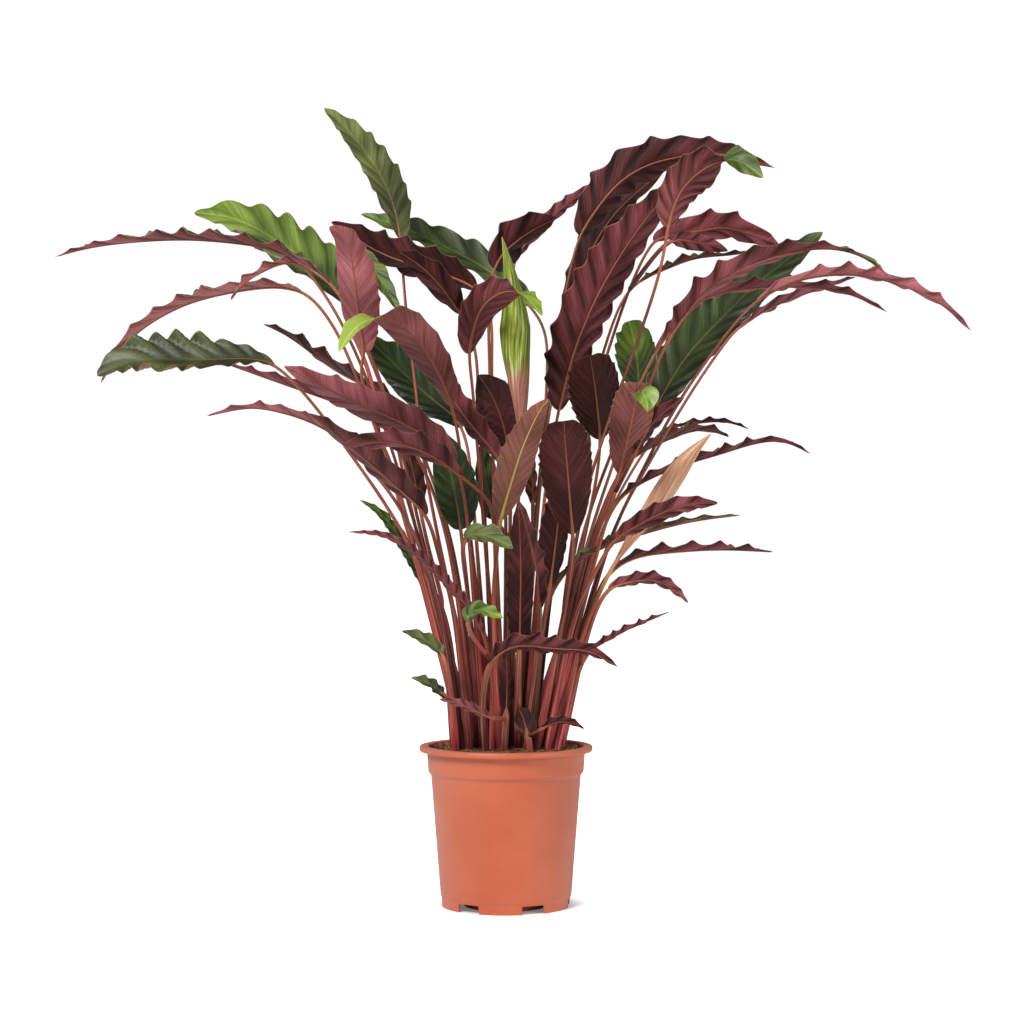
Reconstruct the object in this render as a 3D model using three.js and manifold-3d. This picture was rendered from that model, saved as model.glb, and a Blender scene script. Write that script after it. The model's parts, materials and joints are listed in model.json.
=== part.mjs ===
// A velvet calathea, a prayer plant with long waved leaves, in its plastic nursery pot.
// Millimetres, +Z up. The origin is the middle of the pot's underside, and -Y faces the viewer.
// Every leaf is laid out as it is seen from the front, and then set at its own depth.

import * as THREE from 'three';
import { mergeVertices } from 'three/addons/utils/BufferGeometryUtils.js';
import Module from 'manifold-3d';

const wasm = await Module();
wasm.setup();

// The eye that the leaves are laid out for: level, this far in front of the pot's axis.
const eye = { x: 6, z: 393, distance: 2400 };

// Pot: a thin moulded shell with a rolled lip, a collar and a skirt cut into feet.
const pot = {
  sides: 36,
  lipRadius: 86.5,
  lipHeight: 5.5,
  mouthRadius: 77.4,
  rimHeight: 160,
  collarTop: 79,
  collarFoot: 77.6,
  collarDepth: 26,
  bodyTop: 74.8,
  bodyFoot: 65.4,
  skirtHeight: 11,
  skirtRadius: 64,
  wall: 1.6,
  floor: 2,
  padRadius: 42,
  padStep: 2,
  channelInner: 46,
  skirtFlare: 0.4,
  skirtShoulder: 1.5,
  collarStep: 3,
  edge: 1,
  mouthEdge: 0.6,
  notches: 6,
  firstNotch: -65,
  notchWidth: 23,
  notchHeight: 8.5,
  notchDepth: 12,
  drainRadius: 4,
  drainDepth: 12,
  drainSides: 8,
  colour: 0xd4714e,
};

// Soil: fills the pot up to a little below the rim, with a blind hole for every stem.
const soil = {
  top: 153,
  gap: 0.3,
  holeRadius: 4.3,
  holeSides: 6,
  holeFloor: 133.6,
  holeAbove: 10,
  colour: 0x4a3323,
};

// Leaves: stems and blades share these proportions.
const stemBottom = 134;
const stemUpright = 153;
const stemFootRadius = 3.3;
const stemTopRadius = 1.7;
const branchRadius = 2.6;
const joinRadius = 1.6;
const stemLean = 0.4;
const stemStep = 62;
const bladeStep = 15.5;
const fewestRows = 5;
const bladeThickness = 0.8;
const ribDepth = 1.3;
const channelAngle = 20;
const waveHeight = 0.21;
const waveValley = -0.7;
const waveOtherSide = 0.8;
const frameNudge = 2;

// A twist comes in over this stretch of the blade, 0 at its base and 1 at its tip.
const twistFrom = 0.45;
const twistTo = 0.9;

// Bluntness of a blade's base and tip, for leaves that don't name their own.
const usualEnds = [0.55, 0.75];

// A rolled leaf is widest where this power of the length comes to a half.
const rolledPower = 1.45;
const rolledTilt = 45;
const rolledAngles = [150, 90, 30, -30, -90, -150];

// Leaves tilted further than this show their top.
const topTilt = -20;

// Clearing: leaves that cross as seen are pushed apart in depth until they clear each other.
// Test places stand this far apart along stems and blades, and reach this far around as seen;
// half is how much depth they take. A pass moves them by push, less where they hold their wish.
const clearing = {
  rounds: 300,
  stemSpacing: 8,
  stemReach: 6,
  stemHalf: 4.8,
  bladeSpacing: 14,
  fewestRows: 4,
  bladeReach: 10,
  bladeHalf: 4.5,
  fullReachHalf: 18,
  firstRow: 0.02,
  lastRow: 0.99,
  belowFoot: [6, 12, 18],
  push: 0.9,
  hold: 0.04,
  release: 1.5,
  wander: 60,
  stiffness: 0.12,
  stemMiddle: 0.45,
  bladeMiddle: 0.55,
  shortStem: 90,
  rootLimit: 60,
};

// One leaf: foot is [x, depth] of the stem in the soil; stem and blade are [x, height] as seen,
// the blade from its base to its tip; depth is that of the base, the middle and the tip;
// half is half the blade's width; tilt turns the blade from edge-on (0) to showing its
// underside (90) or its top (-90), and twist is what the tilt gains towards the tip. A branch
// leaves the first leaf of its node at this share of the stem, or past 1 of the blade.
const leaves = [
  { node: 'leaf_left_1', foot: [-34, -8], stem: [[-92, 380], [-120, 513], [-144, 570]],
    blade: [[-173, 624], [-226, 655], [-266, 662], [-316, 666], [-366, 664], [-416, 658], [-451, 648]],
    depth: [40, 80, 100], half: 22, tilt: -2 },
  { node: 'leaf_left_2', foot: [-32, 14], stem: [[-80, 350], [-110, 480], [-141, 560]],
    blade: [[-159, 602], [-186, 637], [-216, 655], [-246, 675], [-276, 689], [-312, 692]],
    depth: [90, 150, 190], half: 29, tilt: -52 },
  { node: 'leaf_left_2', branch: 0.3, stem: [[-62, 300], [-76, 350]],
    blade: [[-86, 395], [-90, 420], [-95, 445], [-102, 470]],
    depth: [90, 100, 110], half: 11, tilt: 65, side: -1 },
  { node: 'leaf_left_3', foot: [-40, -16],
    stem: [[-106, 405], [-134, 487], [-161, 558], [-181, 593]],
    blade: [[-203, 615], [-236, 620], [-306, 607], [-346, 589], [-380, 564], [-405, 522]],
    depth: [-40, -60, -80], half: 23, tilt: -2, twist: 6 },
  { node: 'leaf_left_4', foot: [-46, -12],
    stem: [[-56, 280], [-76, 323], [-116, 395], [-156, 452], [-196, 506]],
    blade: [[-229, 540], [-251, 547], [-306, 545], [-346, 545], [-376, 544], [-409, 529]],
    depth: [-70, -100, -110], half: 28, tilt: -40, ends: [0.85, 0.6] },
  { node: 'leaf_left_5', foot: [-30, -26], stem: [[-95, 400], [-150, 560]],
    blade: [[-201, 642], [-220, 644], [-239, 636], [-262, 623], [-275, 605]],
    depth: [-130, -160, -190], half: 11, tilt: 5 },
  { node: 'leaf_upper_left_1', foot: [-22, 24], stem: [[-83, 435], [-91, 525], [-101, 600]],
    blade: [[-105, 666], [-113, 705], [-133, 744], [-164, 782], [-182, 797]],
    depth: [110, 170, 210], half: 20, tilt: -55 },
  { node: 'leaf_upper_left_2', foot: [12, 34], stem: [[36, 440], [42, 540], [40, 575]],
    blade: [[25, 599], [-9, 629], [-38, 647], [-98, 676], [-145, 691]],
    depth: [130, 190, 230], half: 20, tilt: -55 },
  { node: 'leaf_upper_left_3', foot: [-6, -6], stem: [[-15, 525], [-13, 590]],
    blade: [[-28, 618], [-66, 633], [-106, 644], [-136, 657], [-175, 683]],
    depth: [30, 30, 30], half: 25, tilt: 40 },
  { node: 'leaf_upper_left_4', foot: [-10, -14], stem: [[-28, 530], [-31, 560]],
    blade: [[-44, 591], [-72, 628], [-89, 642], [-108, 654]],
    depth: [-30, -70, -100], half: 15, tilt: 55 },
  { node: 'leaf_upper_left_5', foot: [-38, -20], stem: [[-111, 435], [-126, 465], [-148, 534]],
    blade: [[-140, 553], [-146, 575], [-152, 635], [-160, 670], [-177, 678]],
    depth: [-110, -170, -220], half: 21, tilt: 68 },
  { node: 'leaf_upper_left_5', branch: 0.8, stem: [[-134, 530], [-160, 586]],
    blade: [[-167, 620], [-160, 650], [-136, 642], [-120, 616], [-106, 592]],
    depth: [-70, -70, -80], half: 11, tilt: -60, side: 1 },
  { node: 'leaf_mid_left_1', foot: [-12, -28], stem: [[-33, 345], [-46, 460]],
    blade: [[-54, 500], [-66, 530], [-84, 560], [-106, 583], [-128, 588], [-151, 580], [-167, 553]],
    depth: [-90, -150, -210], half: 19, tilt: 60, twist: -110 },
  { node: 'leaf_mid_left_2', foot: [-14, 16], stem: [[-32, 400]],
    blade: [[-40, 480], [-71, 503], [-96, 525], [-121, 550], [-140, 568]],
    depth: [80, 140, 180], half: 27, tilt: -65 },
  { node: 'leaf_mid_left_3', foot: [0, -20], stem: [[0, 380]],
    blade: [[-1, 443], [-31, 475], [-51, 502], [-66, 527], [-81, 543], [-98, 553]],
    depth: [-50, -90, -130], half: 14, tilt: 55 },
  { node: 'leaf_mid_left_4', foot: [-20, -28], stem: [[-38, 385], [-43, 415]],
    blade: [[-50, 442], [-69, 462], [-96, 479], [-156, 505], [-186, 520], [-222, 539]],
    depth: [-110, -180, -230], half: 20, tilt: 38 },
  { node: 'leaf_mid_left_5', foot: [-30, -4], stem: [[-50, 330], [-70, 410]],
    blade: [[-96, 465], [-121, 484], [-156, 498], [-226, 522], [-285, 543]],
    depth: [-20, -30, -40], half: 20, tilt: 8 },
  { node: 'leaf_mid_left_6', foot: [-28, 10], stem: [[-46, 330], [-70, 420]],
    blade: [[-101, 493], [-126, 513], [-171, 533], [-216, 569], [-243, 581]],
    depth: [60, 100, 120], half: 20, tilt: 8 },
  { node: 'leaf_mid_left_7', foot: [-44, -24], stem: [[-60, 280], [-96, 390]],
    blade: [[-161, 465], [-196, 485], [-236, 496], [-260, 498], [-299, 489]],
    depth: [-120, -170, -200], half: 13, tilt: 8 },
  { node: 'leaf_mid_left_8', foot: [-36, -34], stem: [[-50, 290], [-66, 345]],
    blade: [[-78, 391], [-108, 417], [-133, 439], [-183, 482], [-198, 492]],
    depth: [-140, -200, -250], half: 19, tilt: 25 },
  { node: 'leaf_mid_left_9', foot: [-2, -36],
    stem: [[-11, 360], [-13, 393], [-18, 406], [-30, 416]],
    blade: [[-45, 429], [-76, 452], [-106, 462], [-131, 464], [-163, 461]],
    depth: [-150, -210, -260], half: 16, tilt: 20 },
  { node: 'leaf_crown_1', foot: [-4, -24], stem: [[-24, 400], [-33, 515]],
    blade: [[-38, 553], [-32, 580], [-24, 600], [-6, 614], [14, 616], [36, 589]],
    depth: [-80, -130, -180], half: 19, tilt: 60, twist: -95, side: 1 },
  { node: 'spear_crown', foot: [4, -12], stem: [[8, 300]],
    blade: [[14, 440], [15, 490], [13, 520], [9, 560], [8, 600], [2, 640], [-4, 668]],
    depth: [-50, -60, -70], half: 16.5, rolled: true },
  { node: 'leaf_crown_2', foot: [-2, 10], stem: [[-18, 560]],
    blade: [[-17, 639], [16, 670], [50, 687]],
    depth: [60, 80, 90], half: 22, tilt: 40, side: 1 },
  { node: 'leaf_crown_3', foot: [6, 18], stem: [[2, 560]],
    blade: [[6, 643], [19, 662], [49, 692], [69, 707], [94, 725]],
    depth: [90, 140, 170], half: 9, tilt: 55 },
  { node: 'leaf_middle_1', foot: [-6, -46], stem: [[-13, 305], [-10, 345]],
    blade: [[-6, 384], [0, 405], [15, 455], [24, 475], [34, 497], [43, 506]],
    depth: [-140, -200, -240], half: 18, tilt: 68, side: 1 },
  { node: 'leaf_middle_2', foot: [30, -42], stem: [[58, 290], [67, 345]],
    blade: [[67, 370], [65, 390], [62, 430], [59, 462], [58, 484]],
    depth: [-150, -190, -150], half: 27, tilt: 84, side: 1, ends: [0.55, 0.35] },
  { node: 'leaf_middle_3', foot: [22, -34], stem: [[36, 270]],
    blade: [[43, 315], [48, 350], [54, 400], [62, 440]],
    depth: [-90, -120, -110], half: 17, tilt: 60, side: 1 },
  { node: 'leaf_middle_4', foot: [2, 0], stem: [[2, 320], [5, 400]],
    blade: [[4, 450], [-2, 480], [-14, 512], [-28, 530]],
    depth: [-30, -50, -40], half: 27, tilt: 80, side: -1 },
  { node: 'leaf_middle_5', foot: [-24, -42], stem: [[-38, 310]],
    blade: [[-45, 375], [-50, 405], [-56, 435], [-66, 475]],
    depth: [-90, -110, -100], half: 23, tilt: -72, side: -1 },
  { node: 'leaf_middle_4', branch: 0.72, stem: [],
    blade: [[-10, 382], [-16, 405], [-21, 430], [-25, 462]],
    depth: [30, 50, 60], half: 14, tilt: -72, side: -1 },
  { node: 'leaf_middle_5', branch: 0.75, stem: [],
    blade: [[-46, 369], [-28, 372], [-10, 366], [7, 356]],
    depth: [-120, -150, -180], half: 11, tilt: -50, side: 1 },
  { node: 'leaf_middle_6', foot: [12, -50], stem: [[12, 215]],
    blade: [[13, 250], [14, 285], [15, 330], [14, 370], [12, 402]],
    depth: [-100, -130, -140], half: 14, tilt: 84, side: 1 },
  { node: 'leaf_middle_7', foot: [18, -40], stem: [[30, 240]],
    blade: [[35, 297], [31, 343], [25, 362], [18, 390], [11, 407]],
    depth: [-110, -150, -170], half: 12, tilt: 20, side: -1 },
  { node: 'leaf_upper_right_1', foot: [8, -4], stem: [[34, 440], [50, 565], [62, 625]],
    blade: [[73, 670], [94, 702], [114, 725], [144, 743], [199, 753], [234, 749], [269, 737]],
    depth: [50, 70, 70], half: 26, tilt: 50, ends: [0.5, 1.05] },
  { node: 'leaf_upper_right_1', branch: 0.4, stem: [[27, 370]],
    blade: [[27, 400], [26, 425], [24, 450], [21, 472]],
    depth: [40, 50, 60], half: 8, tilt: 60, side: 1 },
  { node: 'leaf_upper_right_2', foot: [38, -26],
    stem: [[72, 390], [106, 495], [134, 570], [155, 635]],
    blade: [[162, 678], [167, 700], [178, 720], [194, 734], [212, 745], [234, 746], [257, 727]],
    depth: [-130, -180, -220], half: 21, tilt: 68, twist: -150 },
  { node: 'leaf_upper_right_3', foot: [14, 12], stem: [[34, 440]],
    blade: [[57, 570], [75, 635], [98, 680], [126, 710], [159, 735]],
    depth: [100, 150, 180], half: 18, tilt: 55, ends: [0.8, 0.75] },
  { node: 'leaf_upper_right_4', foot: [20, -18], stem: [[36, 400]],
    blade: [[52, 494], [66, 550], [88, 605], [114, 650], [138, 685], [174, 726]],
    depth: [-60, -90, -120], half: 30, tilt: 58 },
  { node: 'leaf_upper_right_5', foot: [26, -8], stem: [[52, 380], [85, 500], [120, 610]],
    blade: [[146, 666], [164, 670], [194, 674], [216, 679], [239, 673], [259, 665], [273, 661]],
    depth: [-60, -80, -100], half: 18, tilt: 38 },
  { node: 'leaf_upper_right_5', branch: 0.9, stem: [],
    blade: [[162, 668], [185, 664], [205, 660], [222, 654]],
    depth: [-100, -130, -150], half: 9, tilt: 75 },
  { node: 'leaf_upper_right_6', foot: [22, 4], stem: [[60, 420], [96, 550], [114, 603]],
    blade: [[132, 625], [164, 638], [184, 646], [204, 649], [230, 650], [250, 655]],
    depth: [30, 40, 50], half: 12, tilt: 0 },
  { node: 'leaf_right_1', foot: [44, -20], stem: [[84, 360], [128, 470], [148, 535]],
    blade: [[166, 572], [190, 606], [219, 628], [249, 642], [284, 653], [324, 658], [359, 649],
      [385, 627]],
    depth: [-110, -150, -180], half: 19, tilt: 26, twist: -40, ends: [0.4, 0.8] },
  { node: 'leaf_right_2', foot: [18, 40], stem: [[75, 330], [115, 430]],
    blade: [[142, 483], [162, 520], [184, 555], [229, 600], [251, 622], [317, 673]],
    depth: [110, 180, 230], half: 30, tilt: -62 },
  { node: 'leaf_right_3', foot: [36, -6], stem: [[70, 360], [120, 490]],
    blade: [[147, 550], [164, 575], [184, 598], [209, 612], [254, 618], [314, 618], [349, 610],
      [381, 593]],
    depth: [20, 30, 30], half: 15, tilt: 15 },
  { node: 'leaf_right_3', branch: 0.3, stem: [[58, 300], [64, 345]],
    blade: [[70, 400], [76, 425], [80, 450], [83, 475]],
    depth: [60, 70, 80], half: 9, tilt: 60, side: 1 },
  { node: 'leaf_right_4', foot: [50, -6], stem: [[95, 350], [144, 450], [174, 507], [219, 570]],
    blade: [[249, 605], [284, 623], [314, 630], [354, 631], [394, 621], [434, 604], [465, 574]],
    depth: [-30, -40, -50], half: 16, tilt: 12 },
  { node: 'leaf_right_5', foot: [46, 16], stem: [[96, 360], [162, 475], [194, 527], [224, 569]],
    blade: [[232, 577], [254, 592], [274, 602], [310, 615], [350, 628]],
    depth: [70, 110, 130], half: 11, tilt: 15 },
  { node: 'leaf_mid_right_1', foot: [24, 30], stem: [[80, 360], [110, 450]],
    blade: [[133, 512], [132, 540], [128, 568], [123, 584]],
    depth: [140, 190, 220], half: 23, tilt: -72, side: 1, ends: [0.55, 0.6] },
  { node: 'leaf_mid_right_2', foot: [40, -34], stem: [[91, 355], [109, 410]],
    blade: [[114, 430], [119, 455], [126, 485], [131, 510], [133, 522]],
    depth: [-130, -180, -220], half: 21, tilt: 80, side: 1, ends: [0.55, 0.3] },
  { node: 'leaf_mid_right_2', branch: 0.94, stem: [],
    blade: [[128, 450], [142, 478], [158, 494], [178, 508]],
    depth: [-150, -190, -210], half: 10, tilt: 50 },
  { node: 'leaf_mid_right_2', branch: 1.9, stem: [],
    blade: [[134, 518], [138, 511], [141, 503], [141, 493]],
    depth: [-240, -250, -252], half: 12.5, tilt: -66, side: 1, ends: [0.45, 0.95] },
  { node: 'leaf_mid_right_3', foot: [32, -16], stem: [[68, 320], [90, 420]],
    blade: [[95, 465], [92, 490], [89, 520], [84, 549]],
    depth: [-60, -80, -60], half: 27, tilt: 82, side: 1, ends: [0.55, 0.4] },
  { node: 'leaf_mid_right_4', foot: [36, 16], stem: [[80, 350], [105, 420]],
    blade: [[126, 449], [149, 460], [174, 471], [199, 477], [223, 468]],
    depth: [50, 80, 100], half: 14, tilt: 10 },
  { node: 'leaf_mid_right_5', foot: [30, 44], stem: [[90, 370]],
    blade: [[149, 475], [179, 480], [200, 483], [221, 484], [243, 476]],
    depth: [130, 170, 190], half: 9, tilt: 10 },
  { node: 'leaf_mid_right_6', foot: [32, 2], stem: [[78, 320], [96, 375]],
    blade: [[112, 407], [134, 423], [174, 440], [214, 451], [251, 463], [279, 465], [305, 451]],
    depth: [-70, -90, -110], half: 14, tilt: 8 },
  { node: 'spear_right', foot: [50, -24], stem: [[72, 260]],
    blade: [[98, 325], [126, 368], [149, 400], [166, 425], [184, 450], [205, 471]],
    depth: [-115, -140, -160], half: 11, rolled: true },
  { node: 'leaf_low_right_1', foot: [40, -38], stem: [[64, 280], [85, 325]],
    blade: [[106, 365], [134, 381], [154, 392], [184, 402], [212, 402]],
    depth: [-150, -200, -230], half: 11, tilt: 50 },
  { node: 'leaf_low_right_2', foot: [26, -24], stem: [[35, 270]],
    blade: [[45, 317], [69, 344], [103, 361], [139, 372], [184, 384], [235, 390]],
    depth: [-50, -60, -70], half: 15, tilt: -5 },
  { node: 'leaf_low_right_3', foot: [54, 4], stem: [[84, 290]],
    blade: [[100, 333], [129, 349], [164, 353], [214, 356], [267, 353]],
    depth: [10, 20, 20], half: 17, tilt: 8 },
  { node: 'leaf_low_front', foot: [-20, -48], stem: [[-24, 205]],
    blade: [[-18, 241], [-1, 257], [19, 261], [49, 256], [84, 256], [112, 238]],
    depth: [-140, -180, -210], half: 14, tilt: 38, side: 1, ends: [0.55, 0.85] },
  { node: 'leaf_low_left', foot: [-52, 2], stem: [[-58, 240]],
    blade: [[-73, 301], [-91, 343], [-111, 373], [-126, 394], [-146, 405]],
    depth: [50, 90, 110], half: 8, tilt: -50 },
  { node: 'shoot_right', foot: [54, -14], stem: [[59, 190], [66, 215]],
    blade: [[77, 250], [94, 261], [124, 277], [144, 285], [163, 293]],
    depth: [-60, -70, -80], half: 8, tilt: 20 },
  { node: 'shoot_right', branch: 0.9, stem: [[84, 280]],
    blade: [[100, 318], [126, 324], [148, 327], [168, 316], [182, 302]],
    depth: [-110, -140, -160], half: 9, tilt: 45 },
  { node: 'shoot_front_left', foot: [-14, -40], stem: [[-12, 200]],
    blade: [[-15, 256], [-36, 297], [-59, 321], [-80, 343], [-97, 357], [-124, 372], [-157, 373]],
    depth: [-80, -150, -210], half: 7, tilt: 40 },
  { node: 'shoot_front_left', branch: 0.9, stem: [[-33, 266]],
    blade: [[-41, 283], [-34, 297], [-18, 294], [-3, 287]],
    depth: [-170, -190, -200], half: 8, tilt: -50, side: 1 },
  { node: 'shoot_left', foot: [-50, -18], stem: [[-54, 200]],
    blade: [[-61, 250], [-76, 262], [-90, 270], [-104, 274]],
    depth: [-60, -80, -90], half: 8, tilt: -40 },
  { node: 'shoot_left', branch: 0.6, stem: [],
    blade: [[-60, 205], [-70, 217], [-82, 224], [-95, 227]],
    depth: [-90, -100, -110], half: 7, tilt: -40 },
  { node: 'shoot_front', foot: [-2, -54], stem: [[-1, 175]],
    blade: [[0, 190], [1, 210], [1, 232], [0, 250]],
    depth: [-70, -85, -95], half: 8, tilt: 84, side: 1 },
  { node: 'shoot_front', branch: 0.9, stem: [],
    blade: [[-14, 186], [-30, 194], [-48, 202], [-67, 206]],
    depth: [-90, -110, -120], half: 7, tilt: 45 },
  { node: 'shoot_front_right', foot: [24, -52], stem: [[23, 162]],
    blade: [[22, 168], [20, 178], [17, 190], [12, 198]],
    depth: [-60, -70, -75], half: 11, tilt: 84, side: -1 },
  { node: 'shoot_front_right', branch: 1, stem: [],
    blade: [[36, 176], [48, 184], [64, 184], [78, 176]],
    depth: [-66, -72, -76], half: 7, tilt: 40 },
];

const radians = (degrees) => degrees * Math.PI / 180;
const mix = (from, to, share) => from + (to - from) * share;

// A polyline with its corners cut a few times, so that it bends smoothly and keeps its ends.
function roundCorners(points, rounds = 3) {
  let line = points;
  for (let round = 0; round < rounds; round += 1) {
    const cut = [line[0]];
    for (let i = 0; i < line.length - 1; i += 1) {
      const [from, to] = [line[i], line[i + 1]];
      const near = from.map((value, axis) => mix(value, to[axis], 0.25));
      const far = from.map((value, axis) => mix(value, to[axis], 0.75));
      if (i > 0) cut.push(near);
      if (i < line.length - 2) cut.push(far);
    }
    cut.push(line[line.length - 1]);
    line = cut;
  }
  return line;
}

// Running length along a polyline.
function lengths(line) {
  const total = [0];
  for (let i = 1; i < line.length; i += 1) {
    total.push(total[i - 1] + Math.hypot(line[i][0] - line[i - 1][0], line[i][1] - line[i - 1][1]));
  }
  return total;
}

// The point and direction at a running length of a polyline.
function along(line, total, length) {
  let i = 1;
  while (i < line.length - 1 && total[i] < length) i += 1;
  const share = (length - total[i - 1]) / (total[i] - total[i - 1]);
  const [from, to] = [line[i - 1], line[i]];
  const step = total[i] - total[i - 1];
  return {
    x: mix(from[0], to[0], share),
    z: mix(from[1], to[1], share),
    dx: (to[0] - from[0]) / step,
    dz: (to[1] - from[1]) / step,
  };
}

// Shares of the five depth knots (foot, mid stem, base, mid blade, tip) in the depth at a place.
function knotShares(places, place) {
  let i = 1;
  while (i < places.length - 1 && places[i] < place) i += 1;
  const [left, right] = [i - 1, i];
  const width = places[right] - places[left];
  const s = Math.min(Math.max((place - places[left]) / width, 0), 1);
  const shares = places.map(() => 0);
  shares[left] += 2 * s ** 3 - 3 * s ** 2 + 1;
  shares[right] += 3 * s ** 2 - 2 * s ** 3;
  const addSlope = (knot, weight) => {
    const before = Math.max(knot - 1, 0);
    const after = Math.min(knot + 1, places.length - 1);
    const slope = weight * width / (places[after] - places[before]);
    shares[after] += slope;
    shares[before] -= slope;
  };
  addSlope(left, s ** 3 - 2 * s ** 2 + s);
  addSlope(right, s ** 3 - s ** 2);
  return shares;
}

// Half width of a blade along its length, 0 at the base and 1 at the tip.
function bladeWidth(row, u) {
  const [base, tip] = row.ends ?? usualEnds;
  const widest = base / (base + tip);
  return row.half * u ** base * (1 - u) ** tip / (widest ** base * (1 - widest) ** tip);
}

// Half width of a rolled leaf, slender at its base and pointed at its tip.
const rolledWidth = (row, u) => Math.max(stemTopRadius, row.half * Math.sin(Math.PI * u ** rolledPower));

// Tilt of a blade along its length.
function tiltAt(row, u) {
  const share = Math.min(Math.max((u - twistFrom) / (twistTo - twistFrom), 0), 1);
  return (row.tilt ?? rolledTilt) + (row.twist ?? 0) * share ** 2 * (3 - 2 * share);
}

// Where a branch leaves its parent: a share of the stem, and past 1 a share of the blade.
const branchLength = (parent, branch) => parent.baseAt * Math.min(branch, 1)
  + (parent.whole - parent.baseAt) * Math.max(branch - 1, 0);

// The seen route of each leaf, with its depth knots.
function layOut(row) {
  const parent = row.branch ? leaves.find((other) => other.node === row.node).laid : null;
  const start = parent ? along(parent.line, parent.total, branchLength(parent, row.branch)) : null;
  const foot = parent ? [start.x, start.z] : [row.foot[0], stemUpright];
  const points = [foot, ...row.stem, ...row.blade];
  const line = roundCorners(points);
  const total = lengths(line);
  const whole = total[total.length - 1];
  const rough = lengths(points);
  const baseAt = whole * rough[1 + row.stem.length] / rough[rough.length - 1];
  const places = [0, baseAt / 2, baseAt, (baseAt + whole) / 2, whole];
  const [base, middle, tip] = row.depth;
  const footDepth = parent ? base : row.foot[1];
  const knots = [footDepth, mix(footDepth, base, stemLean), base, middle, tip];
  const side = row.side ?? Math.sign(row.blade[row.blade.length - 1][0] - row.blade[0][0]);
  return { row, parent, line, total, whole, baseAt, places, knots, wished: knots, side };
}

for (const row of leaves) row.laid = layOut(row);
const laidLeaves = leaves.map((row) => row.laid);

const depthAt = (leaf, length) => knotShares(leaf.places, length)
  .reduce((sum, share, knot) => sum + share * leaf.knots[knot], 0);

// Test places of a leaf: along its stem, and over its blade on both sides of the rib.
function testPlaces(leaf, index) {
  const found = [];
  const { row } = leaf;
  const add = (length, across, u) => {
    const at = along(leaf.line, leaf.total, length);
    const tilt = radians(tiltAt(row, u));
    const channel = radians(channelAngle);
    const width = row.rolled ? 0 : bladeWidth(row, u) * Math.abs(across);
    const turn = across >= 0 ? tilt + channel : tilt - channel;
    const rise = Math.sign(across) * width * Math.sin(turn);
    const depth = -Math.sign(across) * width * Math.cos(turn);
    const blade = u > 0;
    const bladeReach = clearing.bladeReach * Math.min(1, row.half / clearing.fullReachHalf);
    const thick = row.rolled ? rolledWidth(row, u) : waveHeight * width;
    found.push({
      leaf: index,
      x: at.x - leaf.side * at.dz * rise,
      z: at.z + leaf.side * at.dx * rise,
      offset: depth,
      reach: blade && !row.rolled ? bladeReach : clearing.stemReach,
      half: blade ? clearing.bladeHalf + thick : clearing.stemHalf,
      shares: knotShares(leaf.places, length),
    });
  };
  const stemCount = Math.max(2, Math.round(leaf.baseAt / clearing.stemSpacing));
  for (let i = 0; i < stemCount; i += 1) add(leaf.baseAt * i / stemCount, 0, 0);
  for (const below of leaf.parent ? [] : clearing.belowFoot) {
    add(0, 0, 0);
    found[found.length - 1].z = stemUpright - below;
  }
  const bladeLength = leaf.whole - leaf.baseAt;
  const rowCount = Math.max(clearing.fewestRows, Math.round(bladeLength / clearing.bladeSpacing));
  const acrosses = row.rolled ? [0] : [-1, -0.5, 0, 0.5, 1];
  for (let i = 0; i <= rowCount; i += 1) {
    const u = Math.min(Math.max(i / rowCount, clearing.firstRow), clearing.lastRow);
    for (const across of acrosses) add(leaf.baseAt + bladeLength * u, across, u);
  }
  return found;
}

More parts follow.
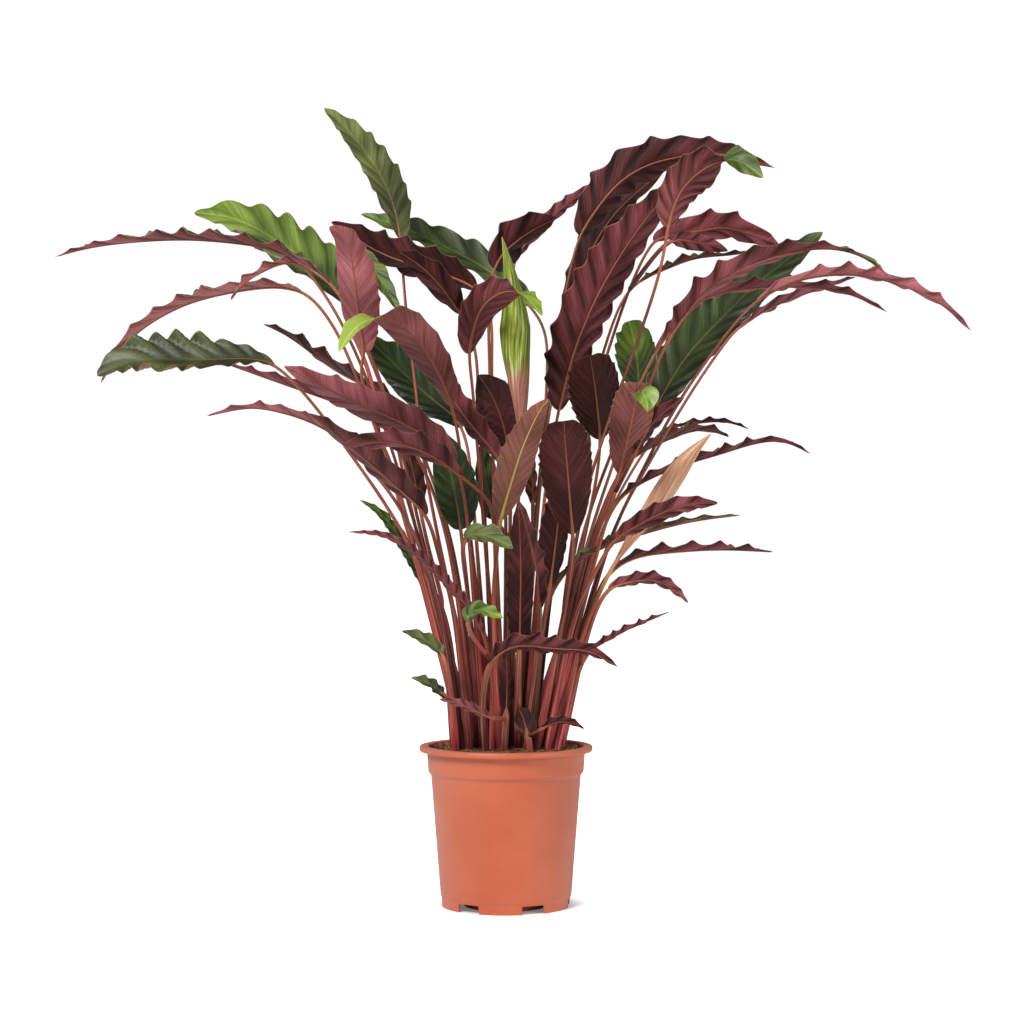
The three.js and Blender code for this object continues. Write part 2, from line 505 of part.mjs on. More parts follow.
// Every two leaves that cross as seen keep the order they start in, and are pushed apart in
// depth until the one in front clears the one behind. Stems stay inside the soil's disc.
function clearLeaves() {
  const places = laidLeaves.flatMap(testPlaces);
  const pairs = [];
  const order = new Map();
  const depthOf = (place) => place.offset
    + place.shares.reduce((sum, share, knot) => sum + share * laidLeaves[place.leaf].knots[knot], 0);
  for (let a = 0; a < places.length; a += 1) {
    for (let b = a + 1; b < places.length; b += 1) {
      const [one, two] = [places[a], places[b]];
      if (leaves[one.leaf].node === leaves[two.leaf].node) continue;
      const reach = one.reach + two.reach;
      const apart = Math.hypot(one.x - two.x, one.z - two.z);
      if (apart >= reach) continue;
      const need = (one.half + two.half) * Math.sqrt(1 - (apart / reach) ** 2);
      const key = one.leaf * leaves.length + two.leaf;
      order.set(key, (order.get(key) ?? 0) + depthOf(two) - depthOf(one));
      pairs.push({ one, two, key, need });
    }
  }
  for (let round = 0; round < clearing.rounds; round += 1) {
    const depths = new Map(places.map((place) => [place, depthOf(place)]));
    const pushes = laidLeaves.map(() => [0, 0, 0, 0, 0]);
    const weights = laidLeaves.map(() => [1e-9, 1e-9, 1e-9, 1e-9, 1e-9]);
    for (const { one, two, key, need } of pairs) {
      const way = order.get(key) >= 0 ? 1 : -1;
      const lack = need - way * (depths.get(two) - depths.get(one));
      if (lack <= 0) continue;
      for (const [place, sign] of [[one, -way], [two, way]]) {
        place.shares.forEach((share, knot) => {
          const pull = Math.abs(share);
          pushes[place.leaf][knot] += sign * 0.5 * lack * pull * lack;
          weights[place.leaf][knot] += pull * lack;
        });
      }
    }
    laidLeaves.forEach((leaf, index) => {
      const hold = clearing.hold * Math.max(0, 1 - clearing.release * round / clearing.rounds);
      leaf.knots = leaf.knots.map((value, knot) => {
        const wish = leaf.wished[knot];
        const push = clearing.push * pushes[index][knot] / weights[index][knot];
        const moved = value + push + hold * (wish - value);
        return Math.min(Math.max(moved, wish - clearing.wander), wish + clearing.wander);
      });
      const { knots } = leaf;
      const stiffness = leaf.baseAt < clearing.shortStem ? 1 : clearing.stiffness;
      knots[1] = mix(knots[1], mix(knots[0], knots[2], clearing.stemMiddle), stiffness);
      knots[3] = mix(knots[3], mix(knots[2], knots[4], clearing.bladeMiddle), clearing.stiffness);
      if (leaf.parent) {
        leaf.knots[0] = depthAt(leaf.parent, branchLength(leaf.parent, leaf.row.branch));
      } else {
        const room = Math.sqrt(clearing.rootLimit ** 2 - leaf.row.foot[0] ** 2);
        leaf.knots[0] = Math.min(Math.max(leaf.knots[0], -room), room);
      }
    });
  }
}

clearLeaves();

// A seen place and its depth as a point of the model.
function place(x, z, depth) {
  const scale = (eye.distance + depth) / eye.distance;
  return new THREE.Vector3(eye.x + (x - eye.x) * scale, depth, eye.z + (z - eye.z) * scale);
}

const pointAt = (leaf, length) => {
  const at = along(leaf.line, leaf.total, length);
  return place(at.x, at.z, depthAt(leaf, length));
};

// Middle point and directions of a leaf at a length: along it, across it and out of its top.
function frameAt(leaf, length, tilt) {
  const from = pointAt(leaf, Math.max(length - frameNudge, 0));
  const to = pointAt(leaf, Math.min(length + frameNudge, leaf.whole));
  const forward = to.sub(from).normalize();
  const seen = along(leaf.line, leaf.total, length);
  const upward = new THREE.Vector3(-leaf.side * seen.dz, 0, leaf.side * seen.dx);
  const angle = radians(tilt);
  const across = upward.multiplyScalar(Math.sin(angle)).add(new THREE.Vector3(0, -Math.cos(angle), 0));
  across.addScaledVector(forward, -across.dot(forward)).normalize();
  const top = across.clone().cross(forward).multiplyScalar(leaf.side);
  return { middle: pointAt(leaf, length), forward, across, top };
}

const offset = (frame, across, top) => frame.middle.clone()
  .addScaledVector(frame.across, across)
  .addScaledVector(frame.top, top);

// Rings are joined in turn. A ring lists six places, and a stem's ring names four points twice
// over two of them, so that stems and blades join without a seam.
function joinRings(rings, tip) {
  const points = [];
  const faces = [];
  const indexed = rings.map((ring) => {
    const seen = new Map();
    return ring.map((point) => {
      if (!seen.has(point)) {
        seen.set(point, points.length);
        points.push(point);
      }
      return seen.get(point);
    });
  });
  const addFace = (a, b, c) => {
    if (a !== b && b !== c && a !== c) faces.push([a, b, c]);
  };
  for (let i = 0; i < indexed.length - 1; i += 1) {
    const [near, far] = [indexed[i], indexed[i + 1]];
    for (let k = 0; k < near.length; k += 1) {
      const next = (k + 1) % near.length;
      // The quads of the top and of the underside are split along the same diagonal.
      if (k < near.length / 2) {
        addFace(near[k], near[next], far[next]);
        addFace(near[k], far[next], far[k]);
      } else {
        addFace(near[k], near[next], far[k]);
        addFace(near[next], far[next], far[k]);
      }
    }
  }
  const last = indexed[indexed.length - 1];
  points.push(tip);
  last.forEach((from, k) => addFace(from, last[(k + 1) % last.length], points.length - 1));
  const first = [...new Set(indexed[0])];
  for (let k = 1; k < first.length - 1; k += 1) addFace(first[0], first[k + 1], first[k]);
  return { points, faces };
}

// Ring order: left edge top, rib top, right edge top, right edge under, rib under, left edge under.
function stemRing(frame, radius) {
  const left = offset(frame, -radius, 0);
  const right = offset(frame, radius, 0);
  return [left, offset(frame, 0, radius), right, right, offset(frame, 0, -radius), left];
}

function bladeRing(frame, half, channel, waveLeft, waveRight) {
  const skin = bladeThickness / 2;
  const reach = half * Math.cos(channel);
  const rise = half * Math.sin(channel);
  return [
    offset(frame, -reach, rise + waveLeft + skin),
    offset(frame, 0, skin),
    offset(frame, reach, rise + waveRight + skin),
    offset(frame, reach, rise + waveRight - skin),
    offset(frame, 0, -ribDepth),
    offset(frame, -reach, rise + waveLeft - skin),
  ];
}

function rolledRing(frame, radius) {
  return rolledAngles.map((degrees) => offset(
    frame,
    radius * Math.cos(radians(degrees)),
    radius * Math.sin(radians(degrees)),
  ));
}

// One leaf as a closed solid: a stem, and a waved blade with a channel along its rib.
function leafSolid(leaf) {
  const { row } = leaf;
  const tilt = tiltAt(row, 0);
  const rings = [];
  const lowRadius = row.branch ? branchRadius : stemFootRadius;
  const radiusAt = (length) => mix(lowRadius, stemTopRadius, length / leaf.baseAt);
  if (!row.branch) {
    const foot = frameAt(leaf, 0, tilt);
    foot.middle.set(foot.middle.x, foot.middle.y, stemBottom);
    foot.forward.set(0, 0, 1);
    foot.across.z = 0;
    foot.across.normalize();
    foot.top = foot.across.clone().cross(foot.forward).multiplyScalar(leaf.side);
    rings.push(stemRing(foot, stemFootRadius));
    const collar = { ...foot, middle: foot.middle.clone().setZ(stemUpright) };
    rings.push(stemRing(collar, stemFootRadius));
  } else {
    rings.push(stemRing(frameAt(leaf, 0, tilt), joinRadius));
  }
  const stemCount = Math.max(1, Math.round(leaf.baseAt / stemStep));
  for (let i = 1; i < stemCount; i += 1) {
    const length = leaf.baseAt * i / stemCount;
    rings.push(stemRing(frameAt(leaf, length, tilt), radiusAt(length)));
  }
  const bladeLength = leaf.whole - leaf.baseAt;
  const count = Math.max(fewestRows, Math.round(bladeLength / bladeStep));
  const channel = radians(channelAngle);
  for (let i = 0; i < count; i += 1) {
    const u = i / count;
    const frame = frameAt(leaf, leaf.baseAt + bladeLength * u, tiltAt(row, u));
    if (row.rolled) {
      rings.push(rolledRing(frame, rolledWidth(row, u)));
      continue;
    }
    const half = Math.max(stemTopRadius, bladeWidth(row, u));
    const wave = i === 0 ? 0 : half * waveHeight * (i % 2 === 0 ? 1 : waveValley);
    rings.push(bladeRing(frame, half, i === 0 ? 0 : channel, wave, wave * waveOtherSide));
  }
  const { points, faces } = joinRings(rings, pointAt(leaf, leaf.whole));
  const wound = leaf.side > 0 ? faces : faces.map(([a, b, c]) => [a, c, b]);
  return new wasm.Manifold(new wasm.Mesh({
    numProp: 3,
    vertProperties: new Float32Array(points.flatMap((point) => point.toArray())),
    triVerts: new Uint32Array(wound.flat()),
  }));
}

// Passing between three.js geometry and solids.
function toSolid(geometry) {
  const bare = geometry.clone();
  bare.deleteAttribute('normal');
  bare.deleteAttribute('uv');
  const merged = mergeVertices(bare, 1e-4);
  return new wasm.Manifold(new wasm.Mesh({
    numProp: 3,
    vertProperties: new Float32Array(merged.attributes.position.array),
    triVerts: new Uint32Array(merged.index.array),
  }));
}

function toGeometry(solid) {
  const mesh = solid.getMesh();
  const geometry = new THREE.BufferGeometry();
  geometry.setAttribute('position', new THREE.BufferAttribute(new Float32Array(mesh.vertProperties), 3));
  geometry.setIndex(new THREE.BufferAttribute(new Uint32Array(mesh.triVerts), 1));
  return geometry;
}

// A solid of revolution about the pot's axis, from a closed outline of [radius, height].
function turned(outline) {
  const points = outline.map(([radius, height]) => new THREE.Vector2(radius, height));
  const geometry = new THREE.LatheGeometry(points, pot.sides);
  geometry.rotateX(Math.PI / 2);
  return toSolid(geometry);
}

// Inner face of the pot's wall at a height, and the same for the soil.
const bodyTopHeight = pot.rimHeight - pot.collarDepth - pot.collarStep;
const wallRadius = (height) => mix(pot.bodyFoot, pot.bodyTop, (height - pot.skirtHeight)
  / (bodyTopHeight - pot.skirtHeight)) - pot.wall;

function makePot() {
  const collarFootHeight = pot.rimHeight - pot.collarDepth;
  const lipFoot = pot.rimHeight - pot.lipHeight;
  const outline = [
    [0, 0],
    [pot.padRadius, 0],
    [pot.channelInner, pot.skirtHeight - pot.floor],
    [pot.skirtRadius - pot.wall, pot.skirtHeight - pot.floor],
    [pot.skirtRadius - pot.wall, 0],
    [pot.skirtRadius, 0],
    [pot.skirtRadius + pot.skirtFlare, pot.skirtHeight - pot.skirtShoulder],
    [pot.bodyFoot, pot.skirtHeight],
    [pot.bodyTop, bodyTopHeight],
    [pot.collarFoot, collarFootHeight],
    [pot.collarTop, lipFoot],
    [pot.lipRadius, lipFoot],
    [pot.lipRadius, pot.rimHeight - pot.edge],
    [pot.lipRadius - pot.edge, pot.rimHeight],
    [pot.mouthRadius + pot.mouthEdge, pot.rimHeight],
    [pot.mouthRadius, pot.rimHeight - pot.edge],
    [pot.collarFoot - pot.wall, collarFootHeight + pot.edge],
    [pot.bodyTop - pot.wall, bodyTopHeight + pot.edge],
    [wallRadius(pot.skirtHeight + pot.edge), pot.skirtHeight + pot.edge],
    [pot.channelInner - pot.edge, pot.skirtHeight + pot.edge],
    [pot.padRadius - pot.padStep, pot.floor],
    [0, pot.floor],
  ];
  let solid = turned(outline);
  for (let i = 0; i < pot.notches; i += 1) {
    const angle = radians(pot.firstNotch + 360 * i / pot.notches);
    const notch = new THREE.BoxGeometry(pot.notchDepth, pot.notchWidth, 2 * pot.notchHeight);
    notch.translate(pot.skirtRadius, 0, 0);
    notch.rotateZ(angle);
    const { drainRadius, drainDepth, drainSides } = pot;
    const drain = new THREE.CylinderGeometry(drainRadius, drainRadius, drainDepth, drainSides);
    drain.rotateX(Math.PI / 2);
    drain.translate((pot.channelInner + pot.skirtRadius) / 2, 0, pot.skirtHeight);
    drain.rotateZ(angle);
    solid = solid.subtract(toSolid(notch)).subtract(toSolid(drain));
  }
  return solid;
}

function makeSoil() {
  const { gap } = soil;
  const collarFootHeight = pot.rimHeight - pot.collarDepth;
  const bottom = pot.skirtHeight + pot.edge + gap;
  const outline = [
    [0, pot.floor + gap],
    [pot.padRadius - pot.padStep - gap, pot.floor + gap],
    [pot.channelInner - pot.edge - gap, bottom],
    [wallRadius(bottom) - gap, bottom],
    [pot.bodyTop - pot.wall - 2 * gap, bodyTopHeight + pot.edge],
    [pot.collarFoot - pot.wall - 3 * gap, collarFootHeight + pot.edge],
    [pot.collarFoot - pot.wall - 2 * gap, soil.top],
    [0, soil.top],
  ];
  let solid = turned(outline);
  for (const leaf of laidLeaves) {
    if (leaf.parent) continue;
    const foot = pointAt(leaf, 0);
    const height = soil.top + soil.holeAbove - soil.holeFloor;
    const hole = new THREE.CylinderGeometry(soil.holeRadius, soil.holeRadius, height, soil.holeSides);
    hole.rotateX(Math.PI / 2);
    hole.translate(foot.x, foot.y, soil.holeFloor + height / 2);
    solid = solid.subtract(toSolid(hole));
  }
  return solid;
}

const plant = new THREE.Group();

function addPiece(name, solid, material) {
  const mesh = new THREE.Mesh(toGeometry(solid), material);
  mesh.name = name;
  plant.add(mesh);
}

const plastic = new THREE.MeshStandardMaterial({ color: pot.colour, roughness: 0.55, metalness: 0 });
const earth = new THREE.MeshStandardMaterial({ color: soil.colour, roughness: 1, metalness: 0 });
const purpleLeaf = new THREE.MeshStandardMaterial({ color: 0x5e343b, roughness: 0.7, metalness: 0 });
const greenLeaf = new THREE.MeshStandardMaterial({ color: 0x47692c, roughness: 0.6, metalness: 0 });
const youngLeaf = new THREE.MeshStandardMaterial({ color: 0xb9c27a, roughness: 0.6, metalness: 0 });

addPiece('pot', makePot(), plastic);
addPiece('soil', makeSoil(), earth);
for (const name of new Set(leaves.map((row) => row.node))) {
  const parts = laidLeaves.filter((leaf) => leaf.row.node === name);
  const solid = parts.map(leafSolid).reduce((whole, part) => whole.add(part));
  const { tilt, rolled } = parts[0].row;
  const material = tilt > topTilt ? purpleLeaf : greenLeaf;
  addPiece(name, solid, rolled ? youngLeaf : material);
}

export default plant;
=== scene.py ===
import json
import math

import bpy
import numpy as np
from mathutils import Matrix, Vector

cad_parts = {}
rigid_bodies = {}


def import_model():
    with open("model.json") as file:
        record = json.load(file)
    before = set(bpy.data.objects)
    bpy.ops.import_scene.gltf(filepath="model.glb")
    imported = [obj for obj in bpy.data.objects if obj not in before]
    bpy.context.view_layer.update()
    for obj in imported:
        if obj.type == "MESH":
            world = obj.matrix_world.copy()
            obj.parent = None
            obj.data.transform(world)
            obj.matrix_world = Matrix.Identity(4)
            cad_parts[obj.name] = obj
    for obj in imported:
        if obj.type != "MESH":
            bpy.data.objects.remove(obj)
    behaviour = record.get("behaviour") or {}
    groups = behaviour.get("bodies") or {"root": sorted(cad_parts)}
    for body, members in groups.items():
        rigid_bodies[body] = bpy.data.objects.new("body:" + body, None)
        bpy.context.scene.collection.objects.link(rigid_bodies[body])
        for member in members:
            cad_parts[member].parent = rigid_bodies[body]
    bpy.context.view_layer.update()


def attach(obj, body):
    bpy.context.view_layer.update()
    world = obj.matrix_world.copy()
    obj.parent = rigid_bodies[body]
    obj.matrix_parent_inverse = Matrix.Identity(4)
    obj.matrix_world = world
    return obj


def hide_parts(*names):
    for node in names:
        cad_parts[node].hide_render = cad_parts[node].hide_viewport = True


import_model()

# A velvet calathea in its plastic nursery pot, seen from the front at the height of its middle.
# Lengths are millimetres, as in the CAD part, and meshes are made in metres.
MM = 0.001
BODY = "root"
SEED = 11

# The eye that the leaves are laid out for, and the camera: x, height, distance in front of the pot's axis.
EYE_X = 6.0
EYE_Z = 393.0
EYE_DISTANCE = 2400.0
PIXELS = 1024.0
SENSOR = 36.0

# Leaf proportions, as in the CAD part.
STEM_BOTTOM = 134.0
STEM_UPRIGHT = 153.0
STEM_LEAN = 0.4
CHANNEL = math.radians(20)
WAVE_HEIGHT = 0.21
TWIST_FROM = 0.45
TWIST_TO = 0.9
USUAL_ENDS = (0.55, 0.75)
ROLLED_POWER = 1.45
ROLLED_TILT = 45
ROLLED_FOOT = 1.7
CORNER_CUT = 0.25
CORNER_ROUNDS = 3

# Clearing of leaves that cross as seen, as in the CAD part.
CLEARING_ROUNDS = 300
STEM_SPACING = 8.0
STEM_REACH = 6.0
STEM_HALF = 4.8
BLADE_SPACING = 14.0
BLADE_COLUMNS = (-1, -0.5, 0, 0.5, 1)
FEWEST_ROWS = 4
FIRST_ROW = 0.02
LAST_ROW = 0.99
BLADE_REACH = 10.0
BLADE_HALF = 4.5
FULL_REACH_HALF = 18.0
ROOT_LIMIT = 60.0
PUSH = 0.9
HOLD = 0.04
RELEASE = 1.5
WANDER = 60.0
STIFFNESS = 0.12
STEM_MIDDLE = 0.45
BLADE_MIDDLE = 0.55
SHORT_STEM = 90.0
FOOT_STEPS = (6.0, 12.0, 18.0)
PAIR_BLOCK = 400

# Lengths under these count as none, and this spreads the directions of soft noise.
SLIGHT = 1e-6
TINY = 1e-9
NOISE_SPREAD = 0.6

# Fineness of the surfaces made here.
SPINE_STEP = 2.0
BLADE_ROW = 2.0
STEM_ROW = 7.0
STEM_SIDES = 12
SPINE_SMOOTHING = 14
HALF_ACROSS = np.array([0.0, 0.07, 0.18, 0.32, 0.47, 0.62, 0.76, 0.88, 0.96, 1.0])
ROWS_A_FOLD = 10
ROLLED_COLUMNS = 56

# Blades: thickness in the middle and at the margin, and the dish across the blade, rising to the margin.
SHEET = 0.36
MARGIN_SHEET = 0.2
THINNING_POWER = 4
DISH_POWER = 1.25

# Folds of a blade: they slant forward, grow from the midrib to the margin and swing it in and out.
VEIN_SLANT = 1.3
FULL_PITCH = 31.0
FOLD_HEIGHT = 0.26
RIGHT_HALF_FOLD = 0.85
LEFT_HALF_SHIFT = 0.45
FOLD_SPREAD = 1.1
FOLD_VALLEY = 0.75
FOLD_START = 0.12
FOLD_SKEW = (0.25, 0.5)
MARGIN_SWING = 0.035
EDGE_ON_FOLD = 1.15
FACING_FOLD = 1.6
EDGE_ON_TILT = 30
FACING_TILT = 60
TOP_TILT = -20
# Power on the wave that sets how strong the painted light and shade on the pleats is.
PLEAT_POWER = 1.6

# Unevenness of the folds: how far their places and heights stray, and over how many folds.
STRAY = 0.1
STRAY_FOLDS = 2.2
VIGOUR = 0.3
VIGOUR_FOLDS = 1.7
VIGOUR_LIMITS = (0.4, 1.6)
STRAY_TERMS = 6

# The rib under a blade: radii at its base and tip, and how far it runs.
RIB_RADIUS = 1.35
RIB_TIP_RADIUS = 0.3
RIB_POWER = 0.7
RIB_TAPER = 1.05
RIB_END = 0.985
ROLLED_RIB_END = 0.35
RIB_SUNK = 0.45
RIB_BLEND = 0.12
RIB_DROP = 0.08

# Stems: wide flat sheaths low down, thin and round under the blade. Radii go with height over the soil.
STEM_THIN = 1.5
STEM_SPREAD = 2.7
STEM_SPREAD_HEIGHT = 140.0
STEM_SPREAD_POWER = 1.6
BRANCH_SPREAD = 0.9
STEM_IN_SOIL = 3.4
STEM_OUT_OF_SOIL = (-5, 25)
STEM_FLATNESS = 0.68
FLAT_TO_ROUND = (0.3, 0.9)
SMALL_LEAF_HALF = 14
SMALL_STEM = 0.75
TURN_BEFORE_BLADE = 80
STREAKS_AROUND = 2.2

# A rolled blade: a sheet wound one and a half times from a core, with ripples, and drawn in to its tip.
ROLLED_SHEET = 0.5
WOUND = math.radians(540)
WOUND_FROM = math.radians(250)
WOUND_TWIST = 1.1
ROLLED_CORE = 0.66
RIPPLE = 0.05
RIPPLES = 3
RIPPLE_DRIFT = 5
ROLLED_TIP = 0.3
ROLLED_DRAW = 40

# Shader scales: UVs are in tenths of a metre, and fine veins are this far apart in them.
UV_SCALE = 0.01
FINE_VEIN = 0.021

# The pot, as in the CAD part: radii, heights and thicknesses.
LIP_RADIUS = 86.5
LIP_HEIGHT = 5.5
MOUTH_RADIUS = 77.4
RIM_HEIGHT = 160.0
COLLAR_TOP = 79.0
COLLAR_FOOT = 77.6
COLLAR_DEPTH = 26.0
COLLAR_STEP = 3.0
BODY_TOP = 74.8
BODY_FOOT = 65.4
SKIRT_HEIGHT = 11.0
SKIRT_RADIUS = 64.0
SKIRT_FLARE = 0.4
SKIRT_SHOULDER = 1.5
WALL = 1.6
FLOOR = 2.0
PAD_RADIUS = 42.0
PAD_SLOPE = 2.0
CHANNEL_INNER = 46.0
INSIDE_STEP = 1.0
COLLAR_FOOT_HEIGHT = RIM_HEIGHT - COLLAR_DEPTH
BODY_TOP_HEIGHT = COLLAR_FOOT_HEIGHT - COLLAR_STEP
LIP_FOOT = RIM_HEIGHT - LIP_HEIGHT
CHANNEL_UNDER = SKIRT_HEIGHT - FLOOR
CHANNEL_FLOOR = SKIRT_HEIGHT + INSIDE_STEP
POT_SIDES = 144
POT_FACE = 9.0
ROUNDING_STEPS = 4
ROUNDING_SHARE = 0.45

# Notches under the skirt and drain holes over them, with the reach of the shapes that cut them.
NOTCHES = 6
FIRST_NOTCH = math.radians(-65)
NOTCH_WIDTH = 23.0
NOTCH_HEIGHT = 8.5
NOTCH_FLARE = 1.0
NOTCH_ROUNDING = 1.2
NOTCH_BELOW = 2.0
DRAIN_RADIUS = 4.0
DRAIN_SIDES = 20
CUT_REACH = 6.0

# The soil: its top over the CAD part's, its gap to the pot, and lumps as (length of wave, height, terms).
SOIL_TOP = 153.0
SOIL_GAP = 0.3
HEAP = 4.5
SOIL_SIDES = 160
SOIL_RINGS = 58
SOIL_MIDDLE = 0.02
SOIL_UNDER_MIDDLE = 0.5
SOIL_EDGE_GAP = 1.0
SOIL_LUMPS = ((26.0, 1.5, 20), (9.0, 0.8, 40), (4.0, 0.5, 60))
LUMP_LIMITS = (-3.0, 3.2)
LUMP_DROP = 1.0
EDGE_DROP = 2.0
EDGE_DROP_FROM = 0.93
SOIL_EDGE_DEPTH = 4.0
CRUMBS = 700
CRUMB_BANDS = 5
CRUMB_SIDES = 6
CRUMB_POLE = 0.12
CRUMB_SHAPE = np.array([1.2, 1, 0.7])
CRUMB_MARGIN = 3
CRUMB_SIZE = (0.7, 2.2)
CRUMB_SHAKE = (0.7, 1.3)
CRUMB_RISE = (-0.8, 0.8)
CRUMB_PALENESS = (0, 0.5)
FIBRES = 420
FIBRE_POINTS = 6
FIBRE_SIDES = 4
FIBRE_MARGIN = 8
FIBRE_LIFT = 0.8
FIBRE_LENGTH = (3, 12)
FIBRE_LEAN = 0.16
FIBRE_BEND = 0.05
FIBRE_RISE = (-0.8, 1.2)
FIBRE_RADIUS = (0.2, 0.55)
FIBRE_PALENESS = (0.1, 0.8)

# Studio: the floor, the ring near the pot where it doesn't glow, which paints the pot's contact shadow
# darker, the lights, and the white surround.
FLOOR_SIDE = 6000.0
FLOOR_FRONT = -4000.0
FLOOR_BACK = 8000.0
DARK_RING = 55.0
GLOWING_FROM = 100.0
DARK_GLOW = 0.15
LIGHT_TARGET = (0, 0, 450.0)
KEY_LIGHT = dict(place=(-1300, -2100, 2200), size=1000, power=90)
FILL_LIGHT = dict(place=(2300, -1600, 1000), size=1400, power=30)
SURROUND_LIGHT = 0.24
SURROUND_SEEN = 1.05

